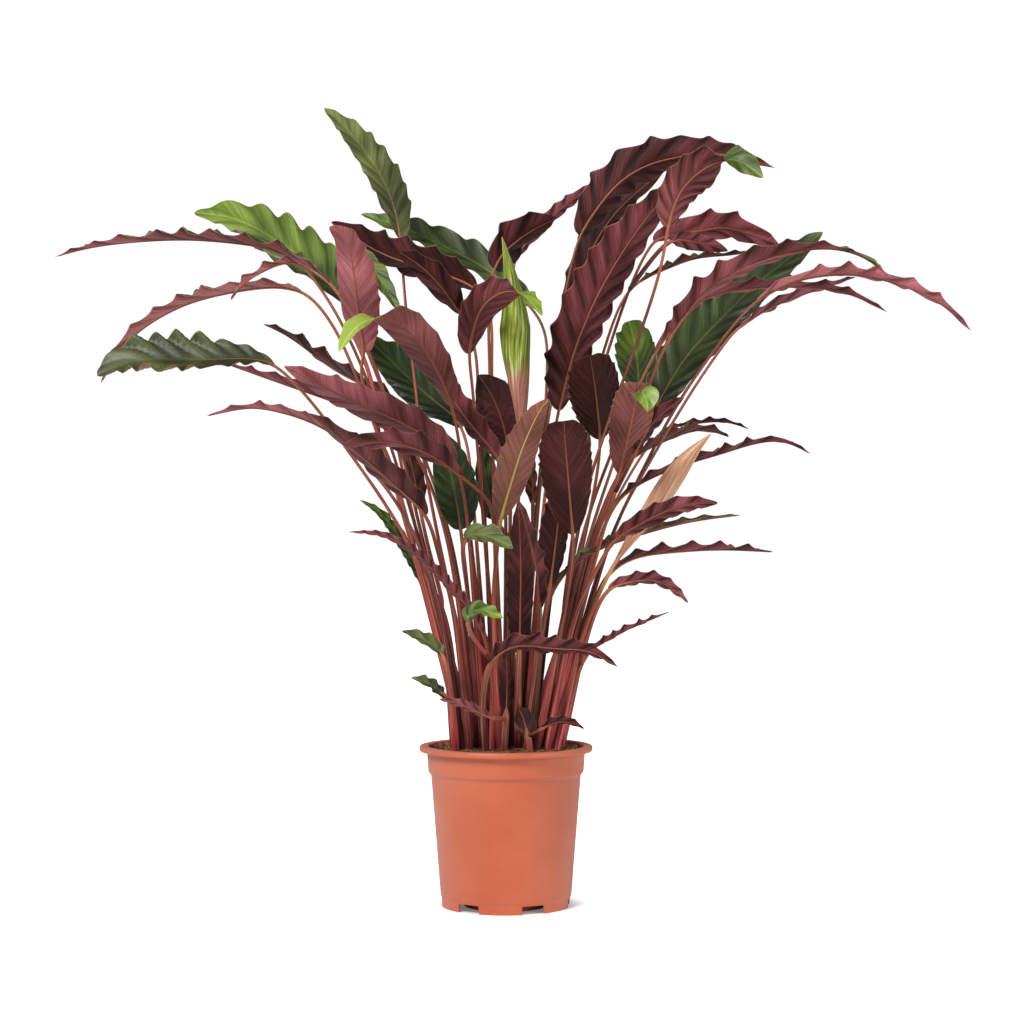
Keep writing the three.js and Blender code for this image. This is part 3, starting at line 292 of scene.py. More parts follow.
# One leaf: foot is (x, depth) of the stem in the soil, or branch is where it leaves the first leaf of its
# node, a share of that leaf's stem, and past 1 the share over 1 of its blade.
# stem and blade are (x, height) as seen, the blade from base to tip; depth is of the base, middle and tip.
# half is half the blade's width, and ends are the powers that round its base and tip.
# tilt turns the blade from edge-on (0) to its underside (90) or its top (-90), and twist turns it on.
# side is the way that the leaf leans, 1 to the right; rolled is a new leaf that has not opened.
# look is blush of the underside, freshness of the green top, and warmth.
# pitch is the length of a fold along the blade, and wave the height of the folds.
LEAVES = [
    dict(node="leaf_left_1", foot=(-34, -8), stem=[(-92, 380), (-120, 513), (-144, 570)],
         blade=[(-173, 624), (-226, 655), (-266, 662), (-316, 666), (-366, 664), (-416, 658), (-451, 648)],
         depth=(40, 80, 100), half=22, tilt=-2, look=(0.62, 0.4, 0.1), pitch=30, wave=1.0),
    dict(node="leaf_left_2", foot=(-32, 14), stem=[(-80, 350), (-110, 480), (-141, 560)],
         blade=[(-159, 602), (-186, 637), (-216, 655), (-246, 675), (-276, 689), (-312, 692)],
         depth=(90, 150, 190), half=29, tilt=-52, look=(0.55, 0.47, 0.15), pitch=28, wave=0.9),
    dict(node="leaf_left_2", branch=0.3, stem=[(-62, 300), (-76, 350)], blade=[(-86, 395), (-90, 420),
         (-95, 445), (-102, 470)], depth=(90, 100, 110), half=11, tilt=65, side=-1, look=(0.2, 0.15, 0.1)),
    dict(node="leaf_left_3", foot=(-40, -16), stem=[(-106, 405), (-134, 487), (-161, 558), (-181, 593)],
         blade=[(-203, 615), (-236, 620), (-306, 607), (-346, 589), (-380, 564), (-405, 522)],
         depth=(-40, -60, -80), half=23, tilt=-2, twist=6, look=(0.92, 0.4, 0.25), pitch=30, wave=0.8),
    dict(node="leaf_left_4", foot=(-46, -12), stem=[(-56, 280), (-76, 323), (-116, 395), (-156, 452),
         (-196, 506)], blade=[(-229, 540), (-251, 547), (-306, 545), (-346, 545), (-376, 544), (-409, 529)],
         depth=(-70, -100, -110), half=28, tilt=-40, ends=(0.85, 0.6), look=(0.6, 0.14, 0.6), pitch=21,
         wave=0.8),
    dict(node="leaf_left_5", foot=(-30, -26), stem=[(-95, 400), (-150, 560)], blade=[(-201, 642),
         (-220, 644), (-239, 636), (-262, 623), (-275, 605)], depth=(-130, -160, -190), half=11, tilt=5,
         look=(0.8, 0.6, 0.2), pitch=22, wave=1.1),
    dict(node="leaf_upper_left_1", foot=(-22, 24), stem=[(-83, 435), (-91, 525), (-101, 600)],
         blade=[(-105, 666), (-113, 705), (-133, 744), (-164, 782), (-182, 797)], depth=(110, 170, 210),
         half=20, tilt=-55, look=(0.5, 0.3, 0.7), pitch=19, wave=0.9),
    dict(node="leaf_upper_left_2", foot=(12, 34), stem=[(36, 440), (42, 540), (40, 575)], blade=[(25, 599),
         (-9, 629), (-38, 647), (-98, 676), (-145, 691)], depth=(130, 190, 230), half=20, tilt=-55,
         look=(0.3, 0.3, 0.15)),
    dict(node="leaf_upper_left_3", foot=(-6, -6), stem=[(-15, 525), (-13, 590)], blade=[(-28, 618),
         (-66, 633), (-106, 644), (-136, 657), (-175, 683)], depth=(30, 30, 30), half=25, tilt=40,
         look=(0.22, 0.14, 0), pitch=26, wave=0.65),
    dict(node="leaf_upper_left_4", foot=(-10, -14), stem=[(-28, 530), (-31, 560)], blade=[(-44, 591),
         (-72, 628), (-89, 642), (-108, 654)], depth=(-30, -70, -100), half=15, tilt=55,
         look=(0.25, 0.2, 0), pitch=26, wave=1.0),
    dict(node="leaf_upper_left_5", foot=(-38, -20), stem=[(-111, 435), (-126, 465), (-148, 534)],
         blade=[(-140, 553), (-146, 575), (-152, 635), (-160, 670), (-177, 678)], depth=(-110, -170, -220),
         half=21, tilt=68, look=(0.72, 0.5, 0.1), pitch=17, wave=0.42),
    dict(node="leaf_upper_left_5", branch=0.8, stem=[(-134, 530), (-160, 586)], blade=[(-167, 620),
         (-160, 650), (-136, 642), (-120, 616), (-106, 592)], depth=(-70, -70, -80), half=11, tilt=-60,
         side=1, look=(0.5, 0.36, 0.1)),
    dict(node="leaf_mid_left_1", foot=(-12, -28), stem=[(-33, 345), (-46, 460)], blade=[(-54, 500),
         (-66, 530), (-84, 560), (-106, 583), (-128, 588), (-151, 580), (-167, 553)],
         depth=(-90, -150, -210), half=19, tilt=60, twist=-110, look=(0.6, 0.85, 0.25), pitch=22,
         wave=0.38),
    dict(node="leaf_mid_left_2", foot=(-14, 16), stem=[(-32, 400)], blade=[(-40, 480), (-71, 503),
         (-96, 525), (-121, 550), (-140, 568)], depth=(80, 140, 180), half=27, tilt=-65,
         look=(0.3, 0.18, 0), pitch=17, wave=0.6),
    dict(node="leaf_mid_left_3", foot=(0, -20), stem=[(0, 380)], blade=[(-1, 443), (-31, 475), (-51, 502),
         (-66, 527), (-81, 543), (-98, 553)], depth=(-50, -90, -130), half=14, tilt=55, look=(0.45, 0.5, 0),
         pitch=22, wave=0.7),
    dict(node="leaf_mid_left_4", foot=(-20, -28), stem=[(-38, 385), (-43, 415)], blade=[(-50, 442),
         (-69, 462), (-96, 479), (-156, 505), (-186, 520), (-222, 539)], depth=(-110, -180, -230), half=20,
         tilt=38, look=(0.72, 0.3, 0.05), pitch=30, wave=0.6),
    dict(node="leaf_mid_left_5", foot=(-30, -4), stem=[(-50, 330), (-70, 410)], blade=[(-96, 465),
         (-121, 484), (-156, 498), (-226, 522), (-285, 543)], depth=(-20, -30, -40), half=20, tilt=8,
         look=(0.5, 0.3, 0), pitch=30, wave=0.8),
    dict(node="leaf_mid_left_6", foot=(-28, 10), stem=[(-46, 330), (-70, 420)], blade=[(-101, 493),
         (-126, 513), (-171, 533), (-216, 569), (-243, 581)], depth=(60, 100, 120), half=20, tilt=8,
         look=(0.15, 0.2, 0)),
    dict(node="leaf_mid_left_7", foot=(-44, -24), stem=[(-60, 280), (-96, 390)], blade=[(-161, 465),
         (-196, 485), (-236, 496), (-260, 498), (-299, 489)], depth=(-120, -170, -200), half=13, tilt=8,
         look=(0.8, 0.3, 0.25), pitch=24, wave=0.7),
    dict(node="leaf_mid_left_8", foot=(-36, -34), stem=[(-50, 290), (-66, 345)], blade=[(-78, 391),
         (-108, 417), (-133, 439), (-183, 482), (-198, 492)], depth=(-140, -200, -250), half=19, tilt=25,
         look=(0.35, 0.2, 0), pitch=28, wave=0.8),
    dict(node="leaf_mid_left_9", foot=(-2, -36), stem=[(-11, 360), (-13, 393), (-18, 406), (-30, 416)],
         blade=[(-45, 429), (-76, 452), (-106, 462), (-131, 464), (-163, 461)], depth=(-150, -210, -260),
         half=16, tilt=20, look=(0.5, 0.3, 0)),
    dict(node="leaf_crown_1", foot=(-4, -24), stem=[(-24, 400), (-33, 515)], blade=[(-38, 553), (-32, 580),
         (-24, 600), (-6, 614), (14, 616), (36, 589)], depth=(-80, -130, -180), half=19, tilt=60, twist=-95,
         side=1, look=(0.45, 0.55, 0.05), pitch=15, wave=0.55),
    dict(node="spear_crown", foot=(4, -12), stem=[(8, 300)], blade=[(14, 440), (15, 490), (13, 520),
         (9, 560), (8, 600), (2, 640), (-4, 668)], depth=(-50, -60, -70), half=16.5, rolled=True,
         look=(0.3, 0.9, 0)),
    dict(node="leaf_crown_2", foot=(-2, 10), stem=[(-18, 560)], blade=[(-17, 639), (16, 670), (50, 687)],
         depth=(60, 80, 90), half=22, tilt=40, side=1, look=(0.3, 0.2, 0)),
    dict(node="leaf_crown_3", foot=(6, 18), stem=[(2, 560)], blade=[(6, 643), (19, 662), (49, 692),
         (69, 707), (94, 725)], depth=(90, 140, 170), half=9, tilt=55, look=(0.4, 0.3, 0), pitch=17,
         wave=1.2),
    dict(node="leaf_middle_1", foot=(-6, -46), stem=[(-13, 305), (-10, 345)], blade=[(-6, 384), (0, 405),
         (15, 455), (24, 475), (34, 497), (43, 506)], depth=(-140, -200, -240), half=18, tilt=68, side=1,
         look=(0.36, 0.4, 0.75), pitch=13, wave=0.3),
    dict(node="leaf_middle_2", foot=(30, -42), stem=[(58, 290), (67, 345)], blade=[(67, 370), (65, 390),
         (62, 430), (59, 462), (58, 484)], depth=(-150, -190, -150), half=27, tilt=84, side=1,
         ends=(0.55, 0.35), look=(0.14, 0.2, 0), pitch=10, wave=0.25),
    dict(node="leaf_middle_3", foot=(22, -34), stem=[(36, 270)], blade=[(43, 315), (48, 350), (54, 400),
         (62, 440)], depth=(-90, -120, -110), half=17, tilt=60, side=1, look=(0.15, 0.2, 0), pitch=12,
         wave=0.45),
    dict(node="leaf_middle_4", foot=(2, 0), stem=[(2, 320), (5, 400)], blade=[(4, 450), (-2, 480),
         (-14, 512), (-28, 530)], depth=(-30, -50, -40), half=27, tilt=80, side=-1, look=(0.12, 0.2, 0),
         pitch=12, wave=0.35),
    dict(node="leaf_middle_5", foot=(-24, -42), stem=[(-38, 310)], blade=[(-45, 375), (-50, 405),
         (-56, 435), (-66, 475)], depth=(-90, -110, -100), half=23, tilt=-72, side=-1, look=(0.3, 0.3, 0),
         pitch=16, wave=0.5),
    dict(node="leaf_middle_4", branch=0.72, stem=[], blade=[(-10, 382), (-16, 405), (-21, 430), (-25, 462)],
         depth=(30, 50, 60), half=14, tilt=-72, side=-1, look=(0.3, 0.16, 0)),
    dict(node="leaf_middle_5", branch=0.75, stem=[], blade=[(-46, 369), (-28, 372), (-10, 366), (7, 356)],
         depth=(-120, -150, -180), half=11, tilt=-50, side=1, look=(0.4, 0.45, 0.7)),
    dict(node="leaf_middle_6", foot=(12, -50), stem=[(12, 215)], blade=[(13, 250), (14, 285), (15, 330),
         (14, 370), (12, 402)], depth=(-100, -130, -140), half=14, tilt=84, side=1, look=(0.2, 0.2, 0),
         pitch=14, wave=0.45),
    dict(node="leaf_middle_7", foot=(18, -40), stem=[(30, 240)], blade=[(35, 297), (31, 343), (25, 362),
         (18, 390), (11, 407)], depth=(-110, -150, -170), half=12, tilt=20, side=-1, look=(0.3, 0.2, 0),
         pitch=20, wave=0.7),
    dict(node="leaf_upper_right_1", foot=(8, -4), stem=[(34, 440), (50, 565), (62, 625)], blade=[(73, 670),
         (94, 702), (114, 725), (144, 743), (199, 753), (234, 749), (269, 737)], depth=(50, 70, 70),
         half=26, tilt=50, ends=(0.5, 1.05), look=(0.3, 0.3, 0), pitch=27, wave=0.85),
    dict(node="leaf_upper_right_1", branch=0.4, stem=[(27, 370)], blade=[(27, 400), (26, 425), (24, 450),
         (21, 472)], depth=(40, 50, 60), half=8, tilt=60, side=1, look=(0.3, 0.3, 0.3)),
    dict(node="leaf_upper_right_2", foot=(38, -26), stem=[(72, 390), (106, 495), (134, 570), (155, 635)],
         blade=[(162, 678), (167, 700), (178, 720), (194, 734), (212, 745), (234, 746), (257, 727)],
         depth=(-130, -180, -220), half=21, tilt=68, twist=-150, look=(0.44, 0.5, 0.12), pitch=16,
         wave=0.75),
    dict(node="leaf_upper_right_3", foot=(14, 12), stem=[(34, 440)], blade=[(57, 570), (75, 635), (98, 680),
         (126, 710), (159, 735)], depth=(100, 150, 180), half=18, tilt=55, ends=(0.8, 0.75),
         look=(0.02, 0.1, 0)),
    dict(node="leaf_upper_right_4", foot=(20, -18), stem=[(36, 400)], blade=[(52, 494), (66, 550),
         (88, 605), (114, 650), (138, 685), (174, 726)], depth=(-60, -90, -120), half=30, tilt=58,
         look=(0.3, 0.3, 0), pitch=26, wave=0.85),
    dict(node="leaf_upper_right_5", foot=(26, -8), stem=[(52, 380), (85, 500), (120, 610)],
         blade=[(146, 666), (164, 670), (194, 674), (216, 679), (239, 673), (259, 665), (273, 661)],
         depth=(-60, -80, -100), half=18, tilt=38, look=(0.5, 0.3, 0), pitch=29, wave=1.0),
    dict(node="leaf_upper_right_5", branch=0.9, stem=[], blade=[(162, 668), (185, 664), (205, 660),
         (222, 654)], depth=(-100, -130, -150), half=9, tilt=75, look=(0.55, 0.3, 0)),
    dict(node="leaf_upper_right_6", foot=(22, 4), stem=[(60, 420), (96, 550), (114, 603)],
         blade=[(132, 625), (164, 638), (184, 646), (204, 649), (230, 650), (250, 655)], depth=(30, 40, 50),
         half=12, tilt=0, look=(0.45, 0.3, 0), pitch=24, wave=1.2),
    dict(node="leaf_right_1", foot=(44, -20), stem=[(84, 360), (128, 470), (148, 535)], blade=[(166, 572),
         (190, 606), (219, 628), (249, 642), (284, 653), (324, 658), (359, 649), (385, 627)],
         depth=(-110, -150, -180), half=19, tilt=26, twist=-40, ends=(0.4, 0.8), look=(0.5, 0.55, 0.05),
         pitch=31, wave=0.9),
    dict(node="leaf_right_2", foot=(18, 40), stem=[(75, 330), (115, 430)], blade=[(142, 483), (162, 520),
         (184, 555), (229, 600), (251, 622), (317, 673)], depth=(110, 180, 230), half=30, tilt=-62,
         look=(0.4, 0.14, 0.15), pitch=24, wave=0.7),
    dict(node="leaf_right_3", foot=(36, -6), stem=[(70, 360), (120, 490)], blade=[(147, 550), (164, 575),
         (184, 598), (209, 612), (254, 618), (314, 618), (349, 610), (381, 593)], depth=(20, 30, 30),
         half=15, tilt=15, look=(0.5, 0.3, 0), pitch=31, wave=1.0),
    dict(node="leaf_right_3", branch=0.3, stem=[(58, 300), (64, 345)], blade=[(70, 400), (76, 425),
         (80, 450), (83, 475)], depth=(60, 70, 80), half=9, tilt=60, side=1, look=(0.35, 0.3, 0.3)),
    dict(node="leaf_right_4", foot=(50, -6), stem=[(95, 350), (144, 450), (174, 507), (219, 570)],
         blade=[(249, 605), (284, 623), (314, 630), (354, 631), (394, 621), (434, 604), (465, 574)],
         depth=(-30, -40, -50), half=16, tilt=12, look=(0.82, 0.3, 0.1), pitch=31, wave=0.9),
    dict(node="leaf_right_5", foot=(46, 16), stem=[(96, 360), (162, 475), (194, 527), (224, 569)],
         blade=[(232, 577), (254, 592), (274, 602), (310, 615), (350, 628)], depth=(70, 110, 130), half=11,
         tilt=15, look=(0.55, 0.3, 0), pitch=24, wave=1.2),
    dict(node="leaf_mid_right_1", foot=(24, 30), stem=[(80, 360), (110, 450)], blade=[(133, 512),
         (132, 540), (128, 568), (123, 584)], depth=(140, 190, 220), half=23, tilt=-72, side=1,
         ends=(0.55, 0.6), look=(0.4, 0.46, 0), pitch=13, wave=0.6),
    dict(node="leaf_mid_right_2", foot=(40, -34), stem=[(91, 355), (109, 410)], blade=[(114, 430),
         (119, 455), (126, 485), (131, 510), (133, 522)], depth=(-130, -180, -220), half=21, tilt=80,
         side=1, ends=(0.55, 0.3), look=(0.48, 0.8, 0.35), pitch=9, wave=0.28),
    dict(node="leaf_mid_right_2", branch=0.94, stem=[], blade=[(128, 450), (142, 478), (158, 494),
         (178, 508)], depth=(-150, -190, -210), half=10, tilt=50, look=(0.3, 0.5, 0)),
    dict(node="leaf_mid_right_2", branch=1.9, stem=[], blade=[(134, 518), (138, 511), (141, 503),
         (141, 493)], depth=(-240, -250, -252), half=12.5, tilt=-66, side=1, ends=(0.45, 0.95),
         look=(0.5, 0.54, 0.15)),
    dict(node="leaf_mid_right_3", foot=(32, -16), stem=[(68, 320), (90, 420)], blade=[(95, 465), (92, 490),
         (89, 520), (84, 549)], depth=(-60, -80, -60), half=27, tilt=82, side=1, ends=(0.55, 0.4),
         look=(0.23, 0.2, 0.1), pitch=10, wave=0.35),
    dict(node="leaf_mid_right_4", foot=(36, 16), stem=[(80, 350), (105, 420)], blade=[(126, 449),
         (149, 460), (174, 471), (199, 477), (223, 468)], depth=(50, 80, 100), half=14, tilt=10,
         look=(0.2, 0.2, 0), pitch=20, wave=1.1),
    dict(node="leaf_mid_right_5", foot=(30, 44), stem=[(90, 370)], blade=[(149, 475), (179, 480),
         (200, 483), (221, 484), (243, 476)], depth=(130, 170, 190), half=9, tilt=10, look=(0.2, 0.2, 0),
         pitch=18, wave=1.2),
    dict(node="leaf_mid_right_6", foot=(32, 2), stem=[(78, 320), (96, 375)], blade=[(112, 407), (134, 423),
         (174, 440), (214, 451), (251, 463), (279, 465), (305, 451)], depth=(-70, -90, -110), half=14,
         tilt=8, look=(0.3, 0.2, 0), pitch=25, wave=1.0),
    dict(node="spear_right", foot=(50, -24), stem=[(72, 260)], blade=[(98, 325), (126, 368), (149, 400),
         (166, 425), (184, 450), (205, 471)], depth=(-115, -140, -160), half=11, rolled=True,
         look=(0.6, 0.3, 0.9)),
    dict(node="leaf_low_right_1", foot=(40, -38), stem=[(64, 280), (85, 325)], blade=[(106, 365),
         (134, 381), (154, 392), (184, 402), (212, 402)], depth=(-150, -200, -230), half=11, tilt=50,
         look=(0.5, 0.3, 0)),
    dict(node="leaf_low_right_2", foot=(26, -24), stem=[(35, 270)], blade=[(45, 317), (69, 344), (103, 361),
         (139, 372), (184, 384), (235, 390)], depth=(-50, -60, -70), half=15, tilt=-5,
         look=(0.45, 0.3, 0.4)),
    dict(node="leaf_low_right_3", foot=(54, 4), stem=[(84, 290)], blade=[(100, 333), (129, 349), (164, 353),
         (214, 356), (267, 353)], depth=(10, 20, 20), half=17, tilt=8, look=(0.4, 0.3, 0), pitch=29,
         wave=1.05),
    dict(node="leaf_low_front", foot=(-20, -48), stem=[(-24, 205)], blade=[(-18, 241), (-1, 257), (19, 261),
         (49, 256), (84, 256), (112, 238)], depth=(-140, -180, -210), half=14, tilt=38, side=1,
         ends=(0.55, 0.85), look=(0.38, 0.3, 0), pitch=19, wave=1.0),
    dict(node="leaf_low_left", foot=(-52, 2), stem=[(-58, 240)], blade=[(-73, 301), (-91, 343), (-111, 373),
         (-126, 394), (-146, 405)], depth=(50, 90, 110), half=8, tilt=-50, look=(0.3, 0.2, 0), pitch=12,
         wave=1.3),
    dict(node="shoot_right", foot=(54, -14), stem=[(59, 190), (66, 215)], blade=[(77, 250), (94, 261),
         (124, 277), (144, 285), (163, 293)], depth=(-60, -70, -80), half=8, tilt=20, look=(0.4, 0.3, 0)),
    dict(node="shoot_right", branch=0.9, stem=[(84, 280)], blade=[(100, 318), (126, 324), (148, 327),
         (168, 316), (182, 302)], depth=(-110, -140, -160), half=9, tilt=45, look=(0.5, 0.3, 0)),
    dict(node="shoot_front_left", foot=(-14, -40), stem=[(-12, 200)], blade=[(-15, 256), (-36, 297),
         (-59, 321), (-80, 343), (-97, 357), (-124, 372), (-157, 373)], depth=(-80, -150, -210), half=7,
         tilt=40, look=(0.55, 0.4, 0)),
    dict(node="shoot_front_left", branch=0.9, stem=[(-33, 266)], blade=[(-41, 283), (-34, 297), (-18, 294),
         (-3, 287)], depth=(-170, -190, -200), half=8, tilt=-50, side=1, look=(0.3, 0.62, 0.1)),
    dict(node="shoot_left", foot=(-50, -18), stem=[(-54, 200)], blade=[(-61, 250), (-76, 262), (-90, 270),
         (-104, 274)], depth=(-60, -80, -90), half=8, tilt=-40, look=(0.4, 0.16, 0.7)),
    dict(node="shoot_left", branch=0.6, stem=[], blade=[(-60, 205), (-70, 217), (-82, 224), (-95, 227)],
         depth=(-90, -100, -110), half=7, tilt=-40, look=(0.4, 0.12, 0.7)),
    dict(node="shoot_front", foot=(-2, -54), stem=[(-1, 175)], blade=[(0, 190), (1, 210), (1, 232),
         (0, 250)], depth=(-70, -85, -95), half=8, tilt=84, side=1, look=(0.2, 0.2, 0), pitch=13,
         wave=0.35),
    dict(node="shoot_front", branch=0.9, stem=[], blade=[(-14, 186), (-30, 194), (-48, 202), (-67, 206)],
         depth=(-90, -110, -120), half=7, tilt=45, look=(0.45, 0.4, 0.15)),
    dict(node="shoot_front_right", foot=(24, -52), stem=[(23, 162)], blade=[(22, 168), (20, 178), (17, 190),
         (12, 198)], depth=(-60, -70, -75), half=11, tilt=84, side=-1, look=(0.2, 0.3, 0), pitch=13,
         wave=0.4),
    dict(node="shoot_front_right", branch=1, stem=[], blade=[(36, 176), (48, 184), (64, 184), (78, 176)],
         depth=(-66, -72, -76), half=7, tilt=40, look=(0.15, 0.2, 0)),
]


def mix(start, end, share):
    """A straight blend: start + (end - start) * share."""
    return start + (end - start) * share


def smooth_step(low, high, value):
    """0 below low and 1 above high, and 3t^2 - 2t^3 between them."""
    t = np.clip((value - low) / (high - low), 0, 1)
    return t * t * (3 - 2 * t)


def round_half_up(value):
    """The nearest whole number, halves upwards."""
    return int(math.floor(value + 0.5))


def soft_noise(points, scale, source, terms):
    """A smooth random field of about unit height: summed waves in random directions, about scale long."""
    directions = source.normal(size=(terms, points.shape[1])) * (2 * math.pi / scale) * NOISE_SPREAD
    phases = source.uniform(0, 2 * math.pi, terms)
    return np.cos(points @ directions.T + phases).sum(axis=1) * math.sqrt(2 / terms)


def round_corners(points):
    """Cuts each corner at a quarter of both its sides, a few times over, and keeps the two ends."""
    line = np.array(points, float)
    for _ in range(CORNER_ROUNDS):
        cut = np.empty((2 * (len(line) - 1), 2))
        cut[0::2] = mix(line[:-1], line[1:], CORNER_CUT)
        cut[1::2] = mix(line[:-1], line[1:], 1 - CORNER_CUT)
        line = np.vstack([line[:1], cut[1:-1], line[-1:]])
    return line


def running_length(line):
    """Running length along a line of points: the sum of the steps up to each one."""
    return np.concatenate([[0], np.cumsum(np.linalg.norm(np.diff(line, axis=0), axis=1))])


def points_along(lengths, points, wanted):
    """Points of a line at the wanted running lengths, straight between the points that are given."""
    return np.column_stack([np.interp(wanted, lengths, column) for column in points.T])


def knot_shares(places, where):
    """Shares of the five depth knots at running lengths: cubic Hermite weights, slopes from neighbours."""
    where = np.atleast_1d(where)
    right = np.clip(np.searchsorted(places, where, "left"), 1, len(places) - 1)
    left = right - 1
    width = places[right] - places[left]
    s = np.clip((where - places[left]) / width, 0, 1)
    shares = np.zeros((len(where), len(places)))
    rows = np.arange(len(where))
    shares[rows, left] += 2 * s ** 3 - 3 * s ** 2 + 1
    shares[rows, right] += 3 * s ** 2 - 2 * s ** 3
    for knot, weight in ((left, s ** 3 - 2 * s ** 2 + s), (right, s ** 3 - s ** 2)):
        before = np.maximum(knot - 1, 0)
        after = np.minimum(knot + 1, len(places) - 1)
        slope = weight * width / (places[after] - places[before])
        shares[rows, after] += slope
        shares[rows, before] -= slope
    return shares


def blade_width(row, u):
    """Half width of a blade at share u of its length: half * u^base (1 - u)^tip over its highest value."""
    u = np.clip(u, 0, 1)
    base, tip = row.get("ends", USUAL_ENDS)
    widest = base / (base + tip)
    return row["half"] * u ** base * (1 - u) ** tip / (widest ** base * (1 - widest) ** tip)


def rolled_width(row, u):
    """Half width of a rolled blade: half * sin(pi u^1.45), but no less than its stem."""
    return np.maximum(ROLLED_FOOT, row["half"] * np.sin(math.pi * np.clip(u, 0, 1) ** ROLLED_POWER))


def tilt_of(row, u):
    """Tilt in radians at share u of a blade: the twist comes in smoothly over its outer part."""
    twist = row.get("twist", 0) * smooth_step(TWIST_FROM, TWIST_TO, u)
    return np.radians(row.get("tilt", ROLLED_TILT) + twist)


def branch_length(parent, branch):
    """Running length where a branch leaves its parent: a share of the stem, and past 1 of the blade."""
    return parent.base_at * min(branch, 1) + (parent.whole - parent.base_at) * max(branch - 1, 0)


class Leaf:
    """The seen route of one leaf, with its five depth knots."""

    def __init__(self, row, others):
        self.row = row
        self.node = row["node"]
        self.half = row["half"]
        self.rolled = row.get("rolled", False)
        self.parent = None
        if "branch" in row:
            self.parent = next(other for other in others if other.node == self.node)
            self.branch_at = branch_length(self.parent, row["branch"])
            foot = points_along(self.parent.total, self.parent.line, [self.branch_at])[0]
        else:
            foot = (row["foot"][0], STEM_UPRIGHT)
        points = [foot, *row["stem"], *row["blade"]]
        self.line = round_corners(points)
        self.total = running_length(self.line)
        self.whole = self.total[-1]
        rough = running_length(np.array(points, float))
        self.base_at = self.whole * rough[1 + len(row["stem"])] / rough[-1]
        blade_middle = (self.base_at + self.whole) / 2
        self.places = np.array([0, self.base_at / 2, self.base_at, blade_middle, self.whole])
        base, middle, tip = row["depth"]
        foot_depth = base if self.parent else row["foot"][1]
        self.knots = np.array([foot_depth, mix(foot_depth, base, STEM_LEAN), base, middle, tip], float)
        self.wished = self.knots.copy()
        self.side = row.get("side") or (1 if row["blade"][-1][0] > row["blade"][0][0] else -1)

    def seen(self, where):
        """Seen places at running lengths: all x, and all z."""
        return points_along(self.total, self.line, where).T

    def heading(self, where):
        """Seen directions of the stretches of line that hold the running lengths: all dx, and all dz."""
        i = np.clip(np.searchsorted(self.total, where, "left"), 1, len(self.total) - 1)
        return ((self.line[i] - self.line[i - 1]) / (self.total[i] - self.total[i - 1])[:, None]).T

    def depth(self, where):
        """Depth at running lengths: the knots weighted by their shares."""
        return knot_shares(self.places, where) @ self.knots


def meeting_places(leaf, index):
    """Places along the stem and over the blade where leaves may meet, and their knots' shares. The columns
    are the leaf's number, x, z, depth from the middle line, reach as seen, and half the room in depth."""
    stem_count = max(2, round_half_up(leaf.base_at / STEM_SPACING))
    stems = leaf.base_at * np.arange(stem_count) / stem_count
    feet = np.array([] if leaf.parent else FOOT_STEPS)
    row_count = max(FEWEST_ROWS, round_half_up((leaf.whole - leaf.base_at) / BLADE_SPACING))
    across = (0.0,) if leaf.rolled else BLADE_COLUMNS
    us = np.repeat(np.clip(np.arange(row_count + 1) / row_count, FIRST_ROW, LAST_ROW), len(across))
    before = np.zeros(stem_count + len(feet))
    u = np.concatenate([before, us])
    v = np.concatenate([before, np.tile(across, row_count + 1)])
    where = np.concatenate([stems, 0 * feet, leaf.base_at + (leaf.whole - leaf.base_at) * us])
    tilt = tilt_of(leaf.row, u)
    width = 0 if leaf.rolled else blade_width(leaf.row, u) * np.abs(v)
    turn = np.where(v >= 0, tilt + CHANNEL, tilt - CHANNEL)
    rise = np.sign(v) * width * np.sin(turn)
    x, z = leaf.seen(where)
    dx, dz = leaf.heading(where)
    x = x - leaf.side * dz * rise
    z = z + leaf.side * dx * rise
    z[stem_count:len(before)] = STEM_UPRIGHT - feet
    blade = u > 0
    reach = np.full(len(u), STEM_REACH)
    if not leaf.rolled:
        reach[blade] = BLADE_REACH * min(1, leaf.half / FULL_REACH_HALF)
    thick = BLADE_HALF + (rolled_width(leaf.row, u) if leaf.rolled else WAVE_HEIGHT * width)
    half = np.where(blade, thick, STEM_HALF)
    depth = -np.sign(v) * width * np.cos(turn)
    table = np.column_stack([np.full(len(u), index), x, z, depth, reach, half])
    return table, knot_shares(leaf.places, where)


def pairs_in_reach(table, node_of):
    """Pairs of places of different nodes that are nearer, as seen, than their reaches together."""
    found = []
    for start in range(0, len(table), PAIR_BLOCK):
        part = table[start:start + PAIR_BLOCK]
        apart = np.hypot(part[:, None, 1] - table[None, :, 1], part[:, None, 2] - table[None, :, 2])
        near = apart < part[:, None, 4] + table[None, :, 4]
        near &= node_of[start:start + PAIR_BLOCK, None] != node_of[None, :]
        near &= np.arange(start, start + len(part))[:, None] < np.arange(len(table))[None, :]
        one, two = np.nonzero(near)
        found.append(np.column_stack([one + start, two, apart[one, two]]))
    return np.concatenate(found)


